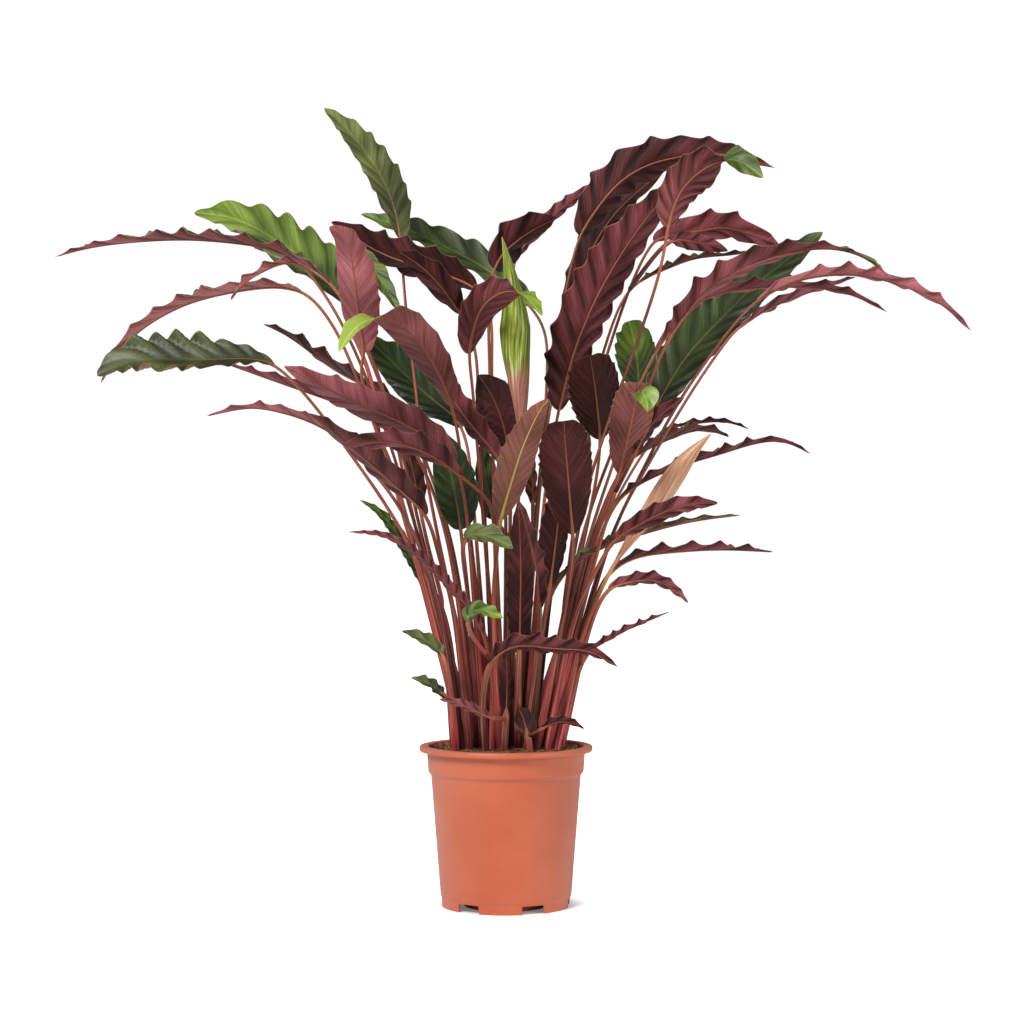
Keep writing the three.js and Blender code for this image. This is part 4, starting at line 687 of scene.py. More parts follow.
def clear_leaves(leaves):
    """Pushes leaves that cross as seen apart in depth, in small rounds, keeping the order they start in."""
    parts = [meeting_places(leaf, index) for index, leaf in enumerate(leaves)]
    table = np.concatenate([part[0] for part in parts])
    shares = np.concatenate([part[1] for part in parts])
    owner = table[:, 0].astype(int)
    names = sorted({leaf.node for leaf in leaves})
    node_of = np.array([names.index(leaves[i].node) for i in owner])
    pairs = pairs_in_reach(table, node_of)
    one, two = pairs[:, 0].astype(int), pairs[:, 1].astype(int)
    reach = table[one, 4] + table[two, 4]
    need = (table[one, 5] + table[two, 5]) * np.sqrt(1 - (pairs[:, 2] / reach) ** 2)

    def depths():
        """Depth of every place, from the knots of its leaf."""
        knots = np.array([leaf.knots for leaf in leaves])
        return table[:, 3] + (shares * knots[owner]).sum(axis=1)

    key = owner[one] * len(leaves) + owner[two]
    first = depths()
    order = np.bincount(key, first[two] - first[one], len(leaves) ** 2)
    way = np.where(order[key] >= 0, 1.0, -1.0)
    pull = np.abs(shares)
    for turn in range(CLEARING_ROUNDS):
        now = depths()
        lack = np.maximum(need - way * (now[two] - now[one]), 0)
        shove = 0.5 * way * lack * lack
        push = np.bincount(two, shove, len(table)) - np.bincount(one, shove, len(table))
        weight = np.bincount(two, lack, len(table)) + np.bincount(one, lack, len(table))
        pushes = np.zeros((len(leaves), 5))
        weights = np.full((len(leaves), 5), TINY)
        np.add.at(pushes, owner, push[:, None] * pull)
        np.add.at(weights, owner, weight[:, None] * pull)
        hold = HOLD * max(0, 1 - RELEASE * turn / CLEARING_ROUNDS)
        for index, leaf in enumerate(leaves):
            moved = leaf.knots + PUSH * pushes[index] / weights[index] + hold * (leaf.wished - leaf.knots)
            knots = np.clip(moved, leaf.wished - WANDER, leaf.wished + WANDER)
            stiffness = 1 if leaf.base_at < SHORT_STEM else STIFFNESS
            knots[1] = mix(knots[1], mix(knots[0], knots[2], STEM_MIDDLE), stiffness)
            knots[3] = mix(knots[3], mix(knots[2], knots[4], BLADE_MIDDLE), STIFFNESS)
            leaf.knots = knots
            if leaf.parent:
                knots[0] = leaf.parent.depth(leaf.branch_at)[0]
            else:
                room = math.sqrt(ROOT_LIMIT ** 2 - leaf.row["foot"][0] ** 2)
                knots[0] = min(max(knots[0], -room), room)


def true_place(x, z, depth):
    """A seen place and its depth as a point: the farther back, the farther out from the eye's line."""
    scale = (EYE_DISTANCE + depth) / EYE_DISTANCE
    return np.column_stack([EYE_X + (x - EYE_X) * scale, depth, EYE_Z + (z - EYE_Z) * scale])


def spine(leaf):
    """Fine middle line of a leaf, smoothed by repeated averages with neighbours, and its running lengths."""
    where = np.linspace(0, leaf.whole, int(leaf.whole / SPINE_STEP) + 2)
    points = true_place(*leaf.seen(where), leaf.depth(where))
    if not leaf.parent:
        below = np.arange(STEM_BOTTOM, STEM_UPRIGHT, SPINE_STEP)
        foot = np.column_stack([np.full(len(below), points[0, 0]), np.full(len(below), points[0, 1]), below])
        points = np.vstack([foot, points])
        where = np.concatenate([below - STEM_UPRIGHT, where])
    for _ in range(SPINE_SMOOTHING):
        points[1:-1] = 0.25 * points[:-2] + 0.5 * points[1:-1] + 0.25 * points[2:]
    return points, where


def unit(vectors):
    """The vectors at length one."""
    return vectors / np.maximum(np.linalg.norm(vectors, axis=1, keepdims=True), TINY)


def frames(leaf, points, where, wanted, tilt=None):
    """At running lengths: middle point, forward, across and top directions, turned by the tilt and twist."""
    middle = points_along(where, points, wanted)
    forward = unit(points_along(where, unit(np.gradient(points, axis=0)), wanted))
    seen = forward[:, [0, 2]] / np.maximum(np.hypot(forward[:, 0], forward[:, 2]), SLIGHT)[:, None]
    if tilt is None:
        tilt = tilt_of(leaf.row, (wanted - leaf.base_at) / (leaf.whole - leaf.base_at))
    upward = leaf.side * np.sin(tilt)
    across = np.column_stack([-seen[:, 1] * upward, -np.cos(tilt), seen[:, 0] * upward])
    across -= forward * (across * forward).sum(axis=1)[:, None]
    across = unit(across)
    top = np.cross(across, forward) * leaf.side
    return middle, forward, across, top


def laid_out(middle, across, top, wide, high):
    """Points beside the middle ones: middle + across * wide + top * high, a row for each middle point."""
    return middle[:, None] + across[:, None] * wide[..., None] + top[:, None] * high[..., None]


def grid_faces(rows, columns, closed=False):
    """Quads of a grid of rows by columns of points, numbered row by row."""
    last = columns if closed else columns - 1
    i, j = np.meshgrid(np.arange(rows - 1), np.arange(last), indexing="ij")
    here = i * columns + j
    right = i * columns + (j + 1) % columns
    return np.stack([here, right, right + columns, here + columns], axis=-1).reshape(-1, 4)


def new_piece(name, points, faces, materials=(), smooth=True):
    """A mesh object in metres, from points in millimetres; it stands at the origin."""
    mesh = bpy.data.meshes.new(name)
    mesh.from_pydata(np.asarray(points) * MM, [], faces)
    for material in materials:
        mesh.materials.append(material)
    mesh.polygons.foreach_set("use_smooth", np.full(len(mesh.polygons), smooth))
    piece = bpy.data.objects.new(name, mesh)
    bpy.context.scene.collection.objects.link(piece)
    return piece


# What each point of a leaf carries: its place for the UVs, then values for the materials.
PLACES = ("length", "breadth")
VALUES = ("blush", "fresh", "warm", "seed", "across", "along", "turn", "pleat")
TOP, UNDER, STALK = 0, 1, 2


class Shape:
    """Collects points, quads, material numbers, UVs and values of one piece."""

    def __init__(self):
        self.points = []
        self.quads = []
        self.slots = []
        self.values = {name: [] for name in PLACES + VALUES}
        self.count = 0

    def add_faces(self, quads, slot):
        """Adds quads between points of the piece."""
        self.quads.append(quads)
        self.slots.append(np.full(len(quads), slot))

    def add(self, points, quads, slot, **values):
        """Adds a sheet or tube; values are single numbers or one for each point."""
        self.points.append(points)
        self.add_faces(quads + self.count, slot)
        for name, parts in self.values.items():
            parts.append(np.broadcast_to(np.asarray(values.get(name, 0.0), float), len(points)))
        self.count += len(points)

    def build(self, name, materials):
        """Makes the mesh object, smooth shaded, without the faces that have no area."""
        piece = new_piece(name, np.concatenate(self.points), np.concatenate(self.quads).tolist(), materials)
        mesh = piece.data
        mesh.polygons.foreach_set("material_index", np.concatenate(self.slots).astype(np.int32))
        corners = np.empty(len(mesh.loops), np.int32)
        mesh.loops.foreach_get("vertex_index", corners)
        uv = np.column_stack([np.concatenate(self.values[key]) for key in PLACES])[corners] * UV_SCALE
        mesh.uv_layers.new(name="UVMap").data.foreach_set("uv", uv.astype(np.float32).ravel())
        for key in VALUES:
            layer = mesh.attributes.new(key, "FLOAT", "POINT")
            layer.data.foreach_set("value", np.concatenate(self.values[key]).astype(np.float32))
        mesh.validate(clean_customdata=False)
        return piece


def add_sheet(shape, grid, side, spare, thick, values):
    """A thin closed sheet: its grid moved by thick along its normals, both ways, with a rim on each side."""
    rows, columns = grid.shape[:2]
    normal = np.cross(np.gradient(grid, axis=1), np.gradient(grid, axis=0)) * side
    size = np.linalg.norm(normal, axis=2, keepdims=True)
    normal = np.where(size > SLIGHT, normal / np.maximum(size, SLIGHT), spare[:, None])
    quads = grid_faces(rows, columns)
    upward, downward = (quads, quads[:, [0, 3, 2, 1]])[::side]
    count = rows * columns
    start = shape.count
    shape.add((grid + normal * thick).reshape(-1, 3), upward, TOP, **values)
    shape.add((grid - normal * thick).reshape(-1, 3), downward, UNDER, **values)
    for column, turn in ((0, side), (columns - 1, -side)):
        here = np.arange(rows - 1) * columns + column + start
        rim = np.stack([here, here + columns, here + columns + count, here + count], axis=1)
        shape.add_faces(rim[:, ::turn], UNDER)


def wavy(length, spacing, source):
    """A smooth random line of about unit height at the given lengths, waves about spacing long."""
    return soft_noise(length[:, None], spacing, source, STRAY_TERMS)


def fold(bent, power):
    """Height of a margin over the bent phase: 1 at whole numbers, -0.75 between; low powers make points."""
    return 1 - (1 + FOLD_VALLEY) * np.abs(np.sin(math.pi * bent)) ** power


def blade_half(row, sign, far, half, s, wave_length, skew, source):
    """One half of a blade over distances s and shares far: height and breadth of its folds, and their phase.
    Phase q is length over wave length, lagging to the margin, bent by skew * sin(2 pi q) / (2 pi)."""
    stray = STRAY * wavy(s, STRAY_FOLDS * wave_length, source)
    vigour = np.clip(1 + VIGOUR * wavy(s, VIGOUR_FOLDS * wave_length, source), *VIGOUR_LIMITS)
    lag = VEIN_SLANT * (far - 1) * half
    q = (s[:, None] - lag) / wave_length + stray[:, None] + (LEFT_HALF_SHIFT if sign < 0 else 0)
    phase = q + skew * np.sin(2 * math.pi * q) / (2 * math.pi)
    steepness = smooth_step(EDGE_ON_TILT, FACING_TILT, abs(row.get("tilt", 0)))
    folded = fold(phase, mix(EDGE_ON_FOLD, FACING_FOLD, steepness)) * vigour[:, None]
    height = folded * far ** FOLD_SPREAD
    height *= half * FOLD_HEIGHT * row.get("wave", 1) * (1 if sign < 0 else RIGHT_HALF_FOLD)
    breadth = sign * half * far * (1 + folded * MARGIN_SWING * far ** 2)
    return height, breadth, phase


def add_blade(shape, leaf, points, where, source, looks):
    """A blade: a dish over the midrib, rising to its margins, with folds that grow to the margins."""
    row = leaf.row
    blade_length = leaf.whole - leaf.base_at
    pitch = row.get("pitch", FULL_PITCH * min(1, leaf.half / FULL_REACH_HALF))
    rows = int(blade_length / min(BLADE_ROW, pitch / ROWS_A_FOLD)) + 2
    u = np.linspace(0, 1, rows)
    s = u * blade_length
    middle, _, across, top = frames(leaf, points, where, leaf.base_at + s)
    wave_length = 2 * blade_length / max(2, round_half_up(2 * blade_length / pitch))
    half = blade_width(row, u)[:, None]
    v = np.concatenate([-HALF_ACROSS[:0:-1], HALF_ACROSS])
    skew = source.uniform(*FOLD_SKEW) * (-1 if row.get("tilt", 0) < TOP_TILT else 1)
    halves = []
    for sign, columns in ((-1, v < 0), (1, v >= 0)):
        far = np.abs(v[columns])
        halves.append(blade_half(row, sign, far, half, s, wave_length, skew, source))
    height, breadth, phase = (np.concatenate(pair, axis=1) for pair in zip(*halves))
    height *= smooth_step(0, FOLD_START, u)[:, None]
    height += np.abs(v) ** DISH_POWER * half * math.sin(CHANNEL)
    grid = laid_out(middle, across, top, breadth * math.cos(CHANNEL), height)
    thick = mix(SHEET, MARGIN_SHEET, np.abs(v) ** THINNING_POWER)[:, None] / 2
    values = dict(
        looks, length=np.repeat(s, len(v)), breadth=breadth.ravel(), across=np.tile(np.abs(v), rows),
        along=np.repeat(u, len(v)), turn=phase.ravel(), pleat=min(1, row.get("wave", 1)) ** PLEAT_POWER,
    )
    add_sheet(shape, grid, leaf.side, top, thick, values)


def add_rolled(shape, leaf, points, where, looks):
    """A rolled new blade: a sheet wound about one and a half times, its loose edge running up the outside."""
    blade_length = leaf.whole - leaf.base_at
    rows = int(blade_length / BLADE_ROW) + 2
    u = np.linspace(0, 1, rows)
    middle, _, across, top = frames(leaf, points, where, leaf.base_at + blade_length * u)
    radius = np.minimum(rolled_width(leaf.row, u), ROLLED_TIP + ROLLED_DRAW * (1 - u))[:, None]
    share = np.linspace(0, 1, ROLLED_COLUMNS)
    angle = WOUND_FROM + WOUND_TWIST * u[:, None] + WOUND * share
    ripple = 1 + RIPPLE * np.sin(RIPPLES * angle + RIPPLE_DRIFT * u[:, None])
    out = radius * mix(ROLLED_CORE, 1.0, share) * ripple
    grid = laid_out(middle, across, top, out * np.cos(angle), out * np.sin(angle))
    values = dict(
        looks, length=np.repeat(u * blade_length, ROLLED_COLUMNS),
        breadth=np.tile(share * WOUND * leaf.half, rows), across=np.tile(np.abs(2 * share - 1), rows),
        along=np.repeat(u, ROLLED_COLUMNS),
    )
    add_sheet(shape, grid, 1, top, ROLLED_SHEET / 2, values)


def tube(centre, across, top, radius, sides, flat=1.0):
    """Points of a tube: ellipses about the centres, radius wide across and radius * flat high."""
    angle = 2 * math.pi * np.arange(sides) / sides
    wide = radius[:, None] * np.cos(angle)
    high = (radius * flat)[:, None] * np.sin(angle)
    return laid_out(centre, across, top, wide, high).reshape(-1, 3), np.tile(angle, len(centre))


def stem_radius(leaf, wanted, u, small):
    """Radius at running lengths: the thin stem, swollen low down by e^-(length / 140)^1.6, then the rib."""
    spread = BRANCH_SPREAD if leaf.parent else STEM_SPREAD
    swollen = spread * np.exp(-(np.maximum(wanted, 0) / STEM_SPREAD_HEIGHT) ** STEM_SPREAD_POWER)
    stem = STEM_THIN * mix(SMALL_STEM, 1, small) + swollen
    if not leaf.parent:
        stem = mix(STEM_IN_SOIL, stem, smooth_step(*STEM_OUT_OF_SOIL, wanted))
    rib = mix(RIB_RADIUS, RIB_TIP_RADIUS, np.clip(u * RIB_TAPER, 0, 1) ** RIB_POWER) * small
    return np.where(u > 0, mix(stem, rib, smooth_step(0, RIB_BLEND, u)), stem)


def add_stem(shape, leaf, points, where, looks):
    """One tube from the foot to the leaf's tip: the stem, and past the blade's base the rib under it."""
    start = where[0]
    blade_length = leaf.whole - leaf.base_at
    rib_length = blade_length * (ROLLED_RIB_END if leaf.rolled else RIB_END)
    wanted = np.concatenate([
        np.linspace(start, leaf.base_at, max(4, int((leaf.base_at - start) / STEM_ROW)), endpoint=False),
        np.linspace(leaf.base_at, leaf.base_at + rib_length, max(4, int(blade_length / STEM_ROW))),
    ])
    share = np.clip(wanted / leaf.base_at, 0, 1)
    u = np.clip((wanted - leaf.base_at) / blade_length, 0, 1)
    flat_tilt = math.radians(-90 if leaf.row.get("tilt", 0) < 0 else 90)
    near_blade = smooth_step(-TURN_BEFORE_BLADE, 0, wanted - leaf.base_at)
    tilt = mix(flat_tilt, tilt_of(leaf.row, u), near_blade)
    middle, forward, across, top = frames(leaf, points, where, wanted, tilt)
    radius = stem_radius(leaf, wanted, u, min(1, leaf.half / SMALL_LEAF_HALF))
    below = (SHEET / 2 + radius * RIB_SUNK) * smooth_step(0, RIB_DROP, u)
    centre = middle - top * below[:, None]
    flat = mix(STEM_FLATNESS, 1, smooth_step(*FLAT_TO_ROUND, share))
    ring, angle = tube(centre, across, top, radius, STEM_SIDES, flat)
    tip = centre[-1] + forward[-1] * radius[-1]
    corner = np.arange(0, STEM_SIDES, 2)
    three = np.column_stack([corner, corner + 1, (corner + 2) % STEM_SIDES])
    tip_cap = np.column_stack([three + len(ring) - STEM_SIDES, np.full(len(three), len(ring))])
    foot_cap = np.column_stack([three[:, ::-1], np.full(len(three), len(ring) + 1)])
    caps = np.stack([tip_cap, foot_cap], axis=1).reshape(-1, 4)
    quads = np.vstack([grid_faces(len(wanted), STEM_SIDES, closed=True), caps])[:, ::leaf.side]
    progress = share + u
    values = dict(
        looks, length=np.append(np.repeat(wanted - start, STEM_SIDES), [wanted[-1] - start, 0]),
        breadth=np.append(angle * STREAKS_AROUND, [0, 0]),
        along=np.append(np.repeat(progress, STEM_SIDES), [progress[-1], 0]),
    )
    shape.add(np.vstack([ring, tip, centre[0]]), quads, STALK, **values)


# Shader helpers.
def linear_light(red, green, blue):
    """A colour written as the photo shows it (0 to 255), as linear light."""
    shown = np.array([red, green, blue]) / 255
    linear = np.where(shown <= 0.04045, shown / 12.92, ((shown + 0.055) / 1.055) ** 2.4)
    return (*linear.tolist(), 1.0)


class Net:
    """The node tree of a group or a material, with short ways to add nodes to it.
    Colours of three numbers are as the photo shows them, and colours of four are linear light."""

    def __init__(self, tree):
        self.tree = tree

    def put(self, socket, value):
        """Links a socket to another, or gives it a plain value or a colour."""
        if isinstance(value, bpy.types.NodeSocket):
            self.tree.links.new(value, socket)
        elif socket.type == "RGBA" and len(value) == 3:
            socket.default_value = linear_light(*value)
        else:
            socket.default_value = value

    def add(self, kind, inputs=None, **settings):
        """A node with its settings; inputs maps a socket's name or number to a value or a socket."""
        node = self.tree.nodes.new(kind)
        for key, value in settings.items():
            setattr(node, key, value)
        for key, value in (inputs or {}).items():
            self.put(node.inputs[key], value)
        return node

    def calculate(self, operation, *values):
        """One math node's output."""
        return self.add("ShaderNodeMath", dict(enumerate(values)), operation=operation).outputs[0]

    def times(self, first, second):
        """Two values multiplied."""
        return self.calculate("MULTIPLY", first, second)

    def weighted(self, start, *terms):
        """A start and the sum of value * weight over the terms."""
        for value, weight in terms:
            start = self.calculate("MULTIPLY_ADD", value, weight, start)
        return start

    def stretch(self, value, low, high, to_low=0.0, to_high=1.0, kind="SMOOTHSTEP"):
        """Maps a value from one range to another, clamped and smooth unless kind says otherwise."""
        ends = {"Value": value, "From Min": low, "From Max": high, "To Min": to_low, "To Max": to_high}
        return self.add("ShaderNodeMapRange", ends, interpolation_type=kind).outputs["Result"]

    def blend(self, share, first, second):
        """Mixes two colours by a share."""
        return self.add("ShaderNodeMix", {0: share, 6: first, 7: second}, data_type="RGBA").outputs[2]

    def ramp(self, value, *stops):
        """A colour ramp: each stop is a place and its colour."""
        node = self.add("ShaderNodeValToRGB", {0: value})
        elements = node.color_ramp.elements
        while len(elements) < len(stops):
            elements.new(0.5)
        for element, (place, *colour) in zip(elements, stops):
            element.position = place
            element.color = linear_light(*colour)
        return node.outputs["Color"]

    def noise(self, vector, scale, detail=2.0, roughness=0.5):
        """A noise texture's value."""
        inputs = {"Vector": vector, "Scale": scale, "Detail": detail, "Roughness": roughness}
        return self.add("ShaderNodeTexNoise", inputs).outputs["Fac"]

    def combine(self, *parts):
        """A vector from up to three values."""
        return self.add("ShaderNodeCombineXYZ", dict(enumerate(parts))).outputs[0]

    def object_place(self):
        """The place on the piece, which stands at the origin."""
        return self.add("ShaderNodeTexCoord").outputs["Object"]

    def length_and_breadth(self):
        """The two values of the UV map: along the leaf, and across it from its midrib."""
        uv = self.add("ShaderNodeUVMap", uv_map="UVMap").outputs[0]
        return self.add("ShaderNodeSeparateXYZ", {0: uv}).outputs[:2]

    def stored(self, name):
        """A value stored on the mesh's points."""
        return self.add("ShaderNodeAttribute", attribute_name=name, attribute_type="GEOMETRY").outputs["Fac"]

    def use_group(self, group):
        """A group node's outputs by name."""
        return self.add("ShaderNodeGroup", node_tree=group).outputs

    def bump(self, height, strength, distance):
        """A bump node's normal; distance is in millimetres."""
        inputs = {"Strength": strength, "Distance": distance * MM, "Height": height}
        return self.add("ShaderNodeBump", inputs).outputs[0]


class Finish(Net):
    """A material with only a Principled BSDF, whose constants are set on the shader's own sockets."""

    def __init__(self, name, **constants):
        self.material = bpy.data.materials.new(name)
        self.material.use_nodes = True
        super().__init__(self.material.node_tree)
        self.inputs = self.tree.nodes["Principled BSDF"].inputs
        self.set(**constants)

    def set(self, **values):
        """Sets or links the shader's sockets; an underscore stands for a space. Gives the material back."""
        for key, value in values.items():
            self.put(self.inputs[key.replace("_", " ")], value)
        return self.material


def make_veins():
    """Masks of a blade: painted light and shade on the pleats by the folds' phase, fine veins along t =
    length - 0.95 * breadth ^ 0.9.
    """
    net = Net(bpy.data.node_groups.new("blade veins", "ShaderNodeTree"))
    length, offset = net.length_and_breadth()
    breadth = net.calculate("ABSOLUTE", offset)
    slant = net.weighted(length, (net.calculate("POWER", breadth, 0.9), -0.95))
    shift = net.times(net.stored("seed"), 7.0)
    place = net.combine(length, offset, shift)
    wobbled = net.weighted(slant, (net.noise(place, 3.0), 0.06))
    # Painted light and shade on the pleats: the folds' phase, grown from the midrib and scaled by how pleated
    # the leaf is.
    wave = net.calculate("COSINE", net.times(net.stored("turn"), 2 * math.pi))
    grown = net.times(net.stretch(net.stored("across"), 0.05, 0.3), net.stored("pleat"))
    ridge = net.calculate("SINE", net.times(wobbled, 2 * math.pi / FINE_VEIN))
    fine = net.times(net.stretch(ridge, -0.2, 1.0), net.stretch(breadth, 0.004, 0.03))
    edge = net.weighted(net.stored("across"), (net.noise(place, 60.0), -0.03))
    brushed = net.combine(net.times(wobbled, 10.0), breadth, shift)
    masks = {
        # Painted light and shade on the pleats' crests and grooves.
        "PaintedCrestShading": net.times(net.stretch(wave, 0.1, 1.0), grown),
        "PaintedGrooveShading": net.times(net.stretch(wave, -0.2, -1.0), grown),
        "Fine": fine,
        "Rib": net.stretch(breadth, 0.018, 0.007),
        "Margin": net.stretch(edge, 0.955, 0.975),
        "Mottle": net.noise(brushed, 3.3, 4.0, 0.62),
        "Patch": net.stretch(net.noise(place, 1.6, 1.0), 0.35, 0.65, -0.5, 0.5),
        "Height": net.weighted(fine, (net.noise(place, 9.0), 0.5)),
    }
    for name in masks:
        net.tree.interface.new_socket(name=name, in_out="OUTPUT", socket_type="NodeSocketFloat")
    net.add("NodeGroupOutput", masks)
    return net.tree


VEINS = make_veins()


def make_underside():
    """Velvety underside: near-black brown to wine, mauve or pink by blush, tan by warmth; painted shade in
    the grooves seen from below (the top's crests) and painted light on its ridges.
    """
    net = Finish("leaf_underside_velvet", Roughness=0.45, Specular_IOR_Level=0.2, Sheen_Weight=0.05,
                 Sheen_Roughness=0.35, Sheen_Tint=(1.0, 0.72, 0.86, 1))
    masks = net.use_group(VEINS)
    # Painted shade and light on the folds: darker where the top's crests make grooves below, lighter on the
    # ridges.
    tone = net.weighted(
        net.calculate("ADD", net.stored("blush"), -0.26), (masks["Mottle"], 0.66), (masks["Patch"], 0.26),
        (masks["PaintedCrestShading"], -0.26), (masks["PaintedGrooveShading"], 0.14), (masks["Fine"], -0.12),
    )
    wine = net.ramp(tone, (0.0, 36, 12, 8), (0.25, 66, 26, 23), (0.5, 108, 50, 53), (0.75, 148, 78, 85),
                    (1.0, 196, 113, 121))
    tan = net.ramp(tone, (0.0, 66, 36, 26), (0.4, 122, 76, 60), (0.7, 170, 114, 92), (1.0, 204, 150, 126))
    base = net.blend(net.stored("warm"), wine, tan)
    base = net.blend(net.times(masks["Margin"], 0.4), base, (172, 128, 104))
    return net.set(Base_Color=base, Normal=net.bump(masks["Height"], 0.4, 0.6))


def make_top():
    """Satin top: dark to fresh green, olive grey by warmth, with painted highlights on its folds' crests and
    painted shade in the grooves between.
    """
    net = Finish("leaf_top_satin", Roughness=0.42, Specular_IOR_Level=0.36, Coat_Weight=0.05,
                 Coat_Roughness=0.22)
    masks = net.use_group(VEINS)
    outer = net.calculate("ADD", net.stored("along"), -0.5)
    # Painted shade: darker in the folds' grooves.
    tone = net.weighted(
        net.calculate("ADD", net.stored("fresh"), -0.26), (masks["Mottle"], 0.6), (masks["Patch"], 0.32),
        (outer, 0.25), (masks["PaintedGrooveShading"], -0.16), (masks["Fine"], -0.06),
    )
    green = net.ramp(tone, (0.0, 20, 30, 12), (0.3, 46, 62, 24), (0.6, 86, 112, 30), (1.0, 138, 166, 44))
    pale = net.ramp(tone, (0.0, 60, 74, 44), (0.3, 92, 108, 58), (0.6, 132, 158, 66), (1.0, 188, 204, 96))
    olive = net.ramp(tone, (0.0, 54, 58, 32), (0.3, 94, 98, 54), (0.6, 132, 136, 84), (1.0, 176, 178, 122))
    # Painted highlight: paler along the folds' crests.
    base = net.blend(net.times(masks["PaintedCrestShading"], 0.45), green, pale)
    base = net.blend(net.stored("warm"), base, olive)
    base = net.blend(net.times(masks["Rib"], 0.5), base, pale)
    base = net.blend(net.times(masks["Margin"], 0.35), base, (172, 150, 100))
    return net.set(Base_Color=base, Normal=net.bump(masks["Height"], 0.3, 0.6))


def make_stalk():
    """Stems and ribs: crimson or brown at the foot, orange brown higher up, with streaks along them, the dark
    ones partly painted shade and the pale ones partly painted highlight lines.
    """
    net = Finish("leaf_stem_streaked", Roughness=0.42, Specular_IOR_Level=0.3)
    length, breadth = net.length_and_breadth()
    seed = net.stored("seed")
    along = net.stored("along")
    shift = net.times(seed, 9.0)
    streak = net.noise(net.combine(net.times(length, 0.5), net.times(breadth, 45.0), shift), 2.0, 3.0, 0.6)
    patch = net.noise(net.combine(length, shift), 1.4)
    route = net.times(along, 0.5)
    red = net.ramp(route, (0.0, 192, 78, 80), (0.12, 182, 77, 74), (0.25, 160, 78, 64), (0.42, 156, 86, 64),
                   (0.52, 170, 100, 70), (1.0, 144, 80, 66))
    brown = net.ramp(route, (0.0, 66, 30, 27), (0.12, 80, 38, 32), (0.25, 106, 56, 43), (0.42, 128, 72, 52),
                     (0.52, 158, 94, 66), (1.0, 132, 70, 58))
    choice = net.weighted(net.calculate("ADD", seed, -0.25), (patch, 0.5))
    base = net.blend(net.stretch(choice, 0.3, 0.7), red, brown)
    # Streaks: the dark ones partly painted shade between the stems, the pale ones partly painted highlight
    # lines.
    base = net.blend(net.times(net.stretch(streak, 0.48, 0.64), 0.75), base, (54, 22, 20))
    base = net.blend(net.times(net.stretch(streak, 0.46, 0.34), 0.45), base, (226, 138, 120))
    gold = net.times(net.stretch(along, 0.9, 1.1), net.stretch(net.stored("warm"), 0.71, 0.75))
    base = net.blend(gold, base, (186, 164, 78))
    return net.set(Base_Color=base, Normal=net.bump(streak, 0.3, 0.8))


def make_young():
    """Rolled new leaf: yellow green with pale and dark streaks, the palest partly painted highlights along
    it, pinkish at its foot; beige by warmth.
    """
    net = Finish("leaf_young_rolled", Roughness=0.42, Specular_IOR_Level=0.35)
    length, breadth = net.length_and_breadth()
    slant = net.weighted(breadth, (length, -0.06))
    streak = net.noise(net.combine(net.times(length, 0.5), net.times(slant, 9.0), 3.0), 3.0, 4.0, 0.6)
    broad = net.noise(net.combine(net.times(length, 0.4), slant, 8.0), 5.0)
    # The palest streaks are partly painted highlights along the roll.
    green = net.ramp(streak, (0.4, 66, 88, 20), (0.49, 126, 140, 40), (0.57, 158, 168, 70),
                     (0.63, 216, 218, 166))
    green = net.blend(net.times(net.stretch(broad, 0.5, 0.66), 0.6), green, (76, 100, 30))
    foot = net.ramp(streak, (0.36, 120, 70, 52), (0.5, 176, 112, 96), (0.66, 214, 162, 140))
    line = net.weighted(net.calculate("ADD", net.stored("along"), -0.15), (streak, 0.3))
    green = net.blend(net.stretch(line, 0.36, 0.48), foot, green)
    beige = net.ramp(streak, (0.36, 176, 112, 84), (0.5, 204, 146, 118), (0.66, 220, 178, 146))
    base = net.blend(net.stored("warm"), green, beige)
    return net.set(Base_Color=base, Normal=net.bump(streak, 0.3, 0.6))


def make_plastic():
    """Terracotta plastic with a satin skin: faint flow marks, fine scratches, and a painted reflection of the
    white surround that makes it paler at grazing angles.
    """
    net = Finish("pot_moulded_plastic", Specular_IOR_Level=0.5)
    place = net.object_place()
    base = net.blend(net.stretch(net.noise(place, 14.0, 3.0), 0.35, 0.7), (186, 88, 54), (195, 98, 64))
    squeezed = net.add("ShaderNodeMapping", {0: place, 3: (60.0, 60.0, 900.0)}).outputs[0]
    scratch = net.noise(squeezed, 1.0, 4.0, 0.7)
    base = net.blend(net.times(net.stretch(scratch, 0.62, 0.75), 0.25), base, (220, 134, 104))
    # Painted reflection: the colour turns paler at grazing angles.
    grazing = net.add("ShaderNodeLayerWeight", {"Blend": 0.35}).outputs["Facing"]
    base = net.blend(net.times(grazing, 0.55), base, (224, 152, 132))
    rough = net.stretch(net.noise(place, 40.0, 3.0), 0.3, 0.7, 0.36, 0.46)
    grain = net.noise(place, 900.0)
    return net.set(Base_Color=base, Roughness=rough, Normal=net.bump(grain, 0.12, 0.3))


def make_earth():
    """Potting mix: dark brown with lighter fibres and crumbs."""
    net = Finish("soil_fibrous_mix", Roughness=0.95)
    crumbs = net.noise(net.object_place(), 260.0, 5.0, 0.7)
    base = net.ramp(crumbs, (0.3, 50, 30, 20), (0.5, 96, 62, 42), (0.62, 136, 96, 66), (0.8, 182, 140, 100))
    base = net.blend(net.stored("seed"), base, (168, 118, 76))
    return net.set(Base_Color=base, Normal=net.bump(crumbs, 0.6, 2.0))


UNDERSIDE = make_underside()
TOPSIDE = make_top()
STEMS = make_stalk()
YOUNG = make_young()
PLASTIC = make_plastic()
EARTH = make_earth()


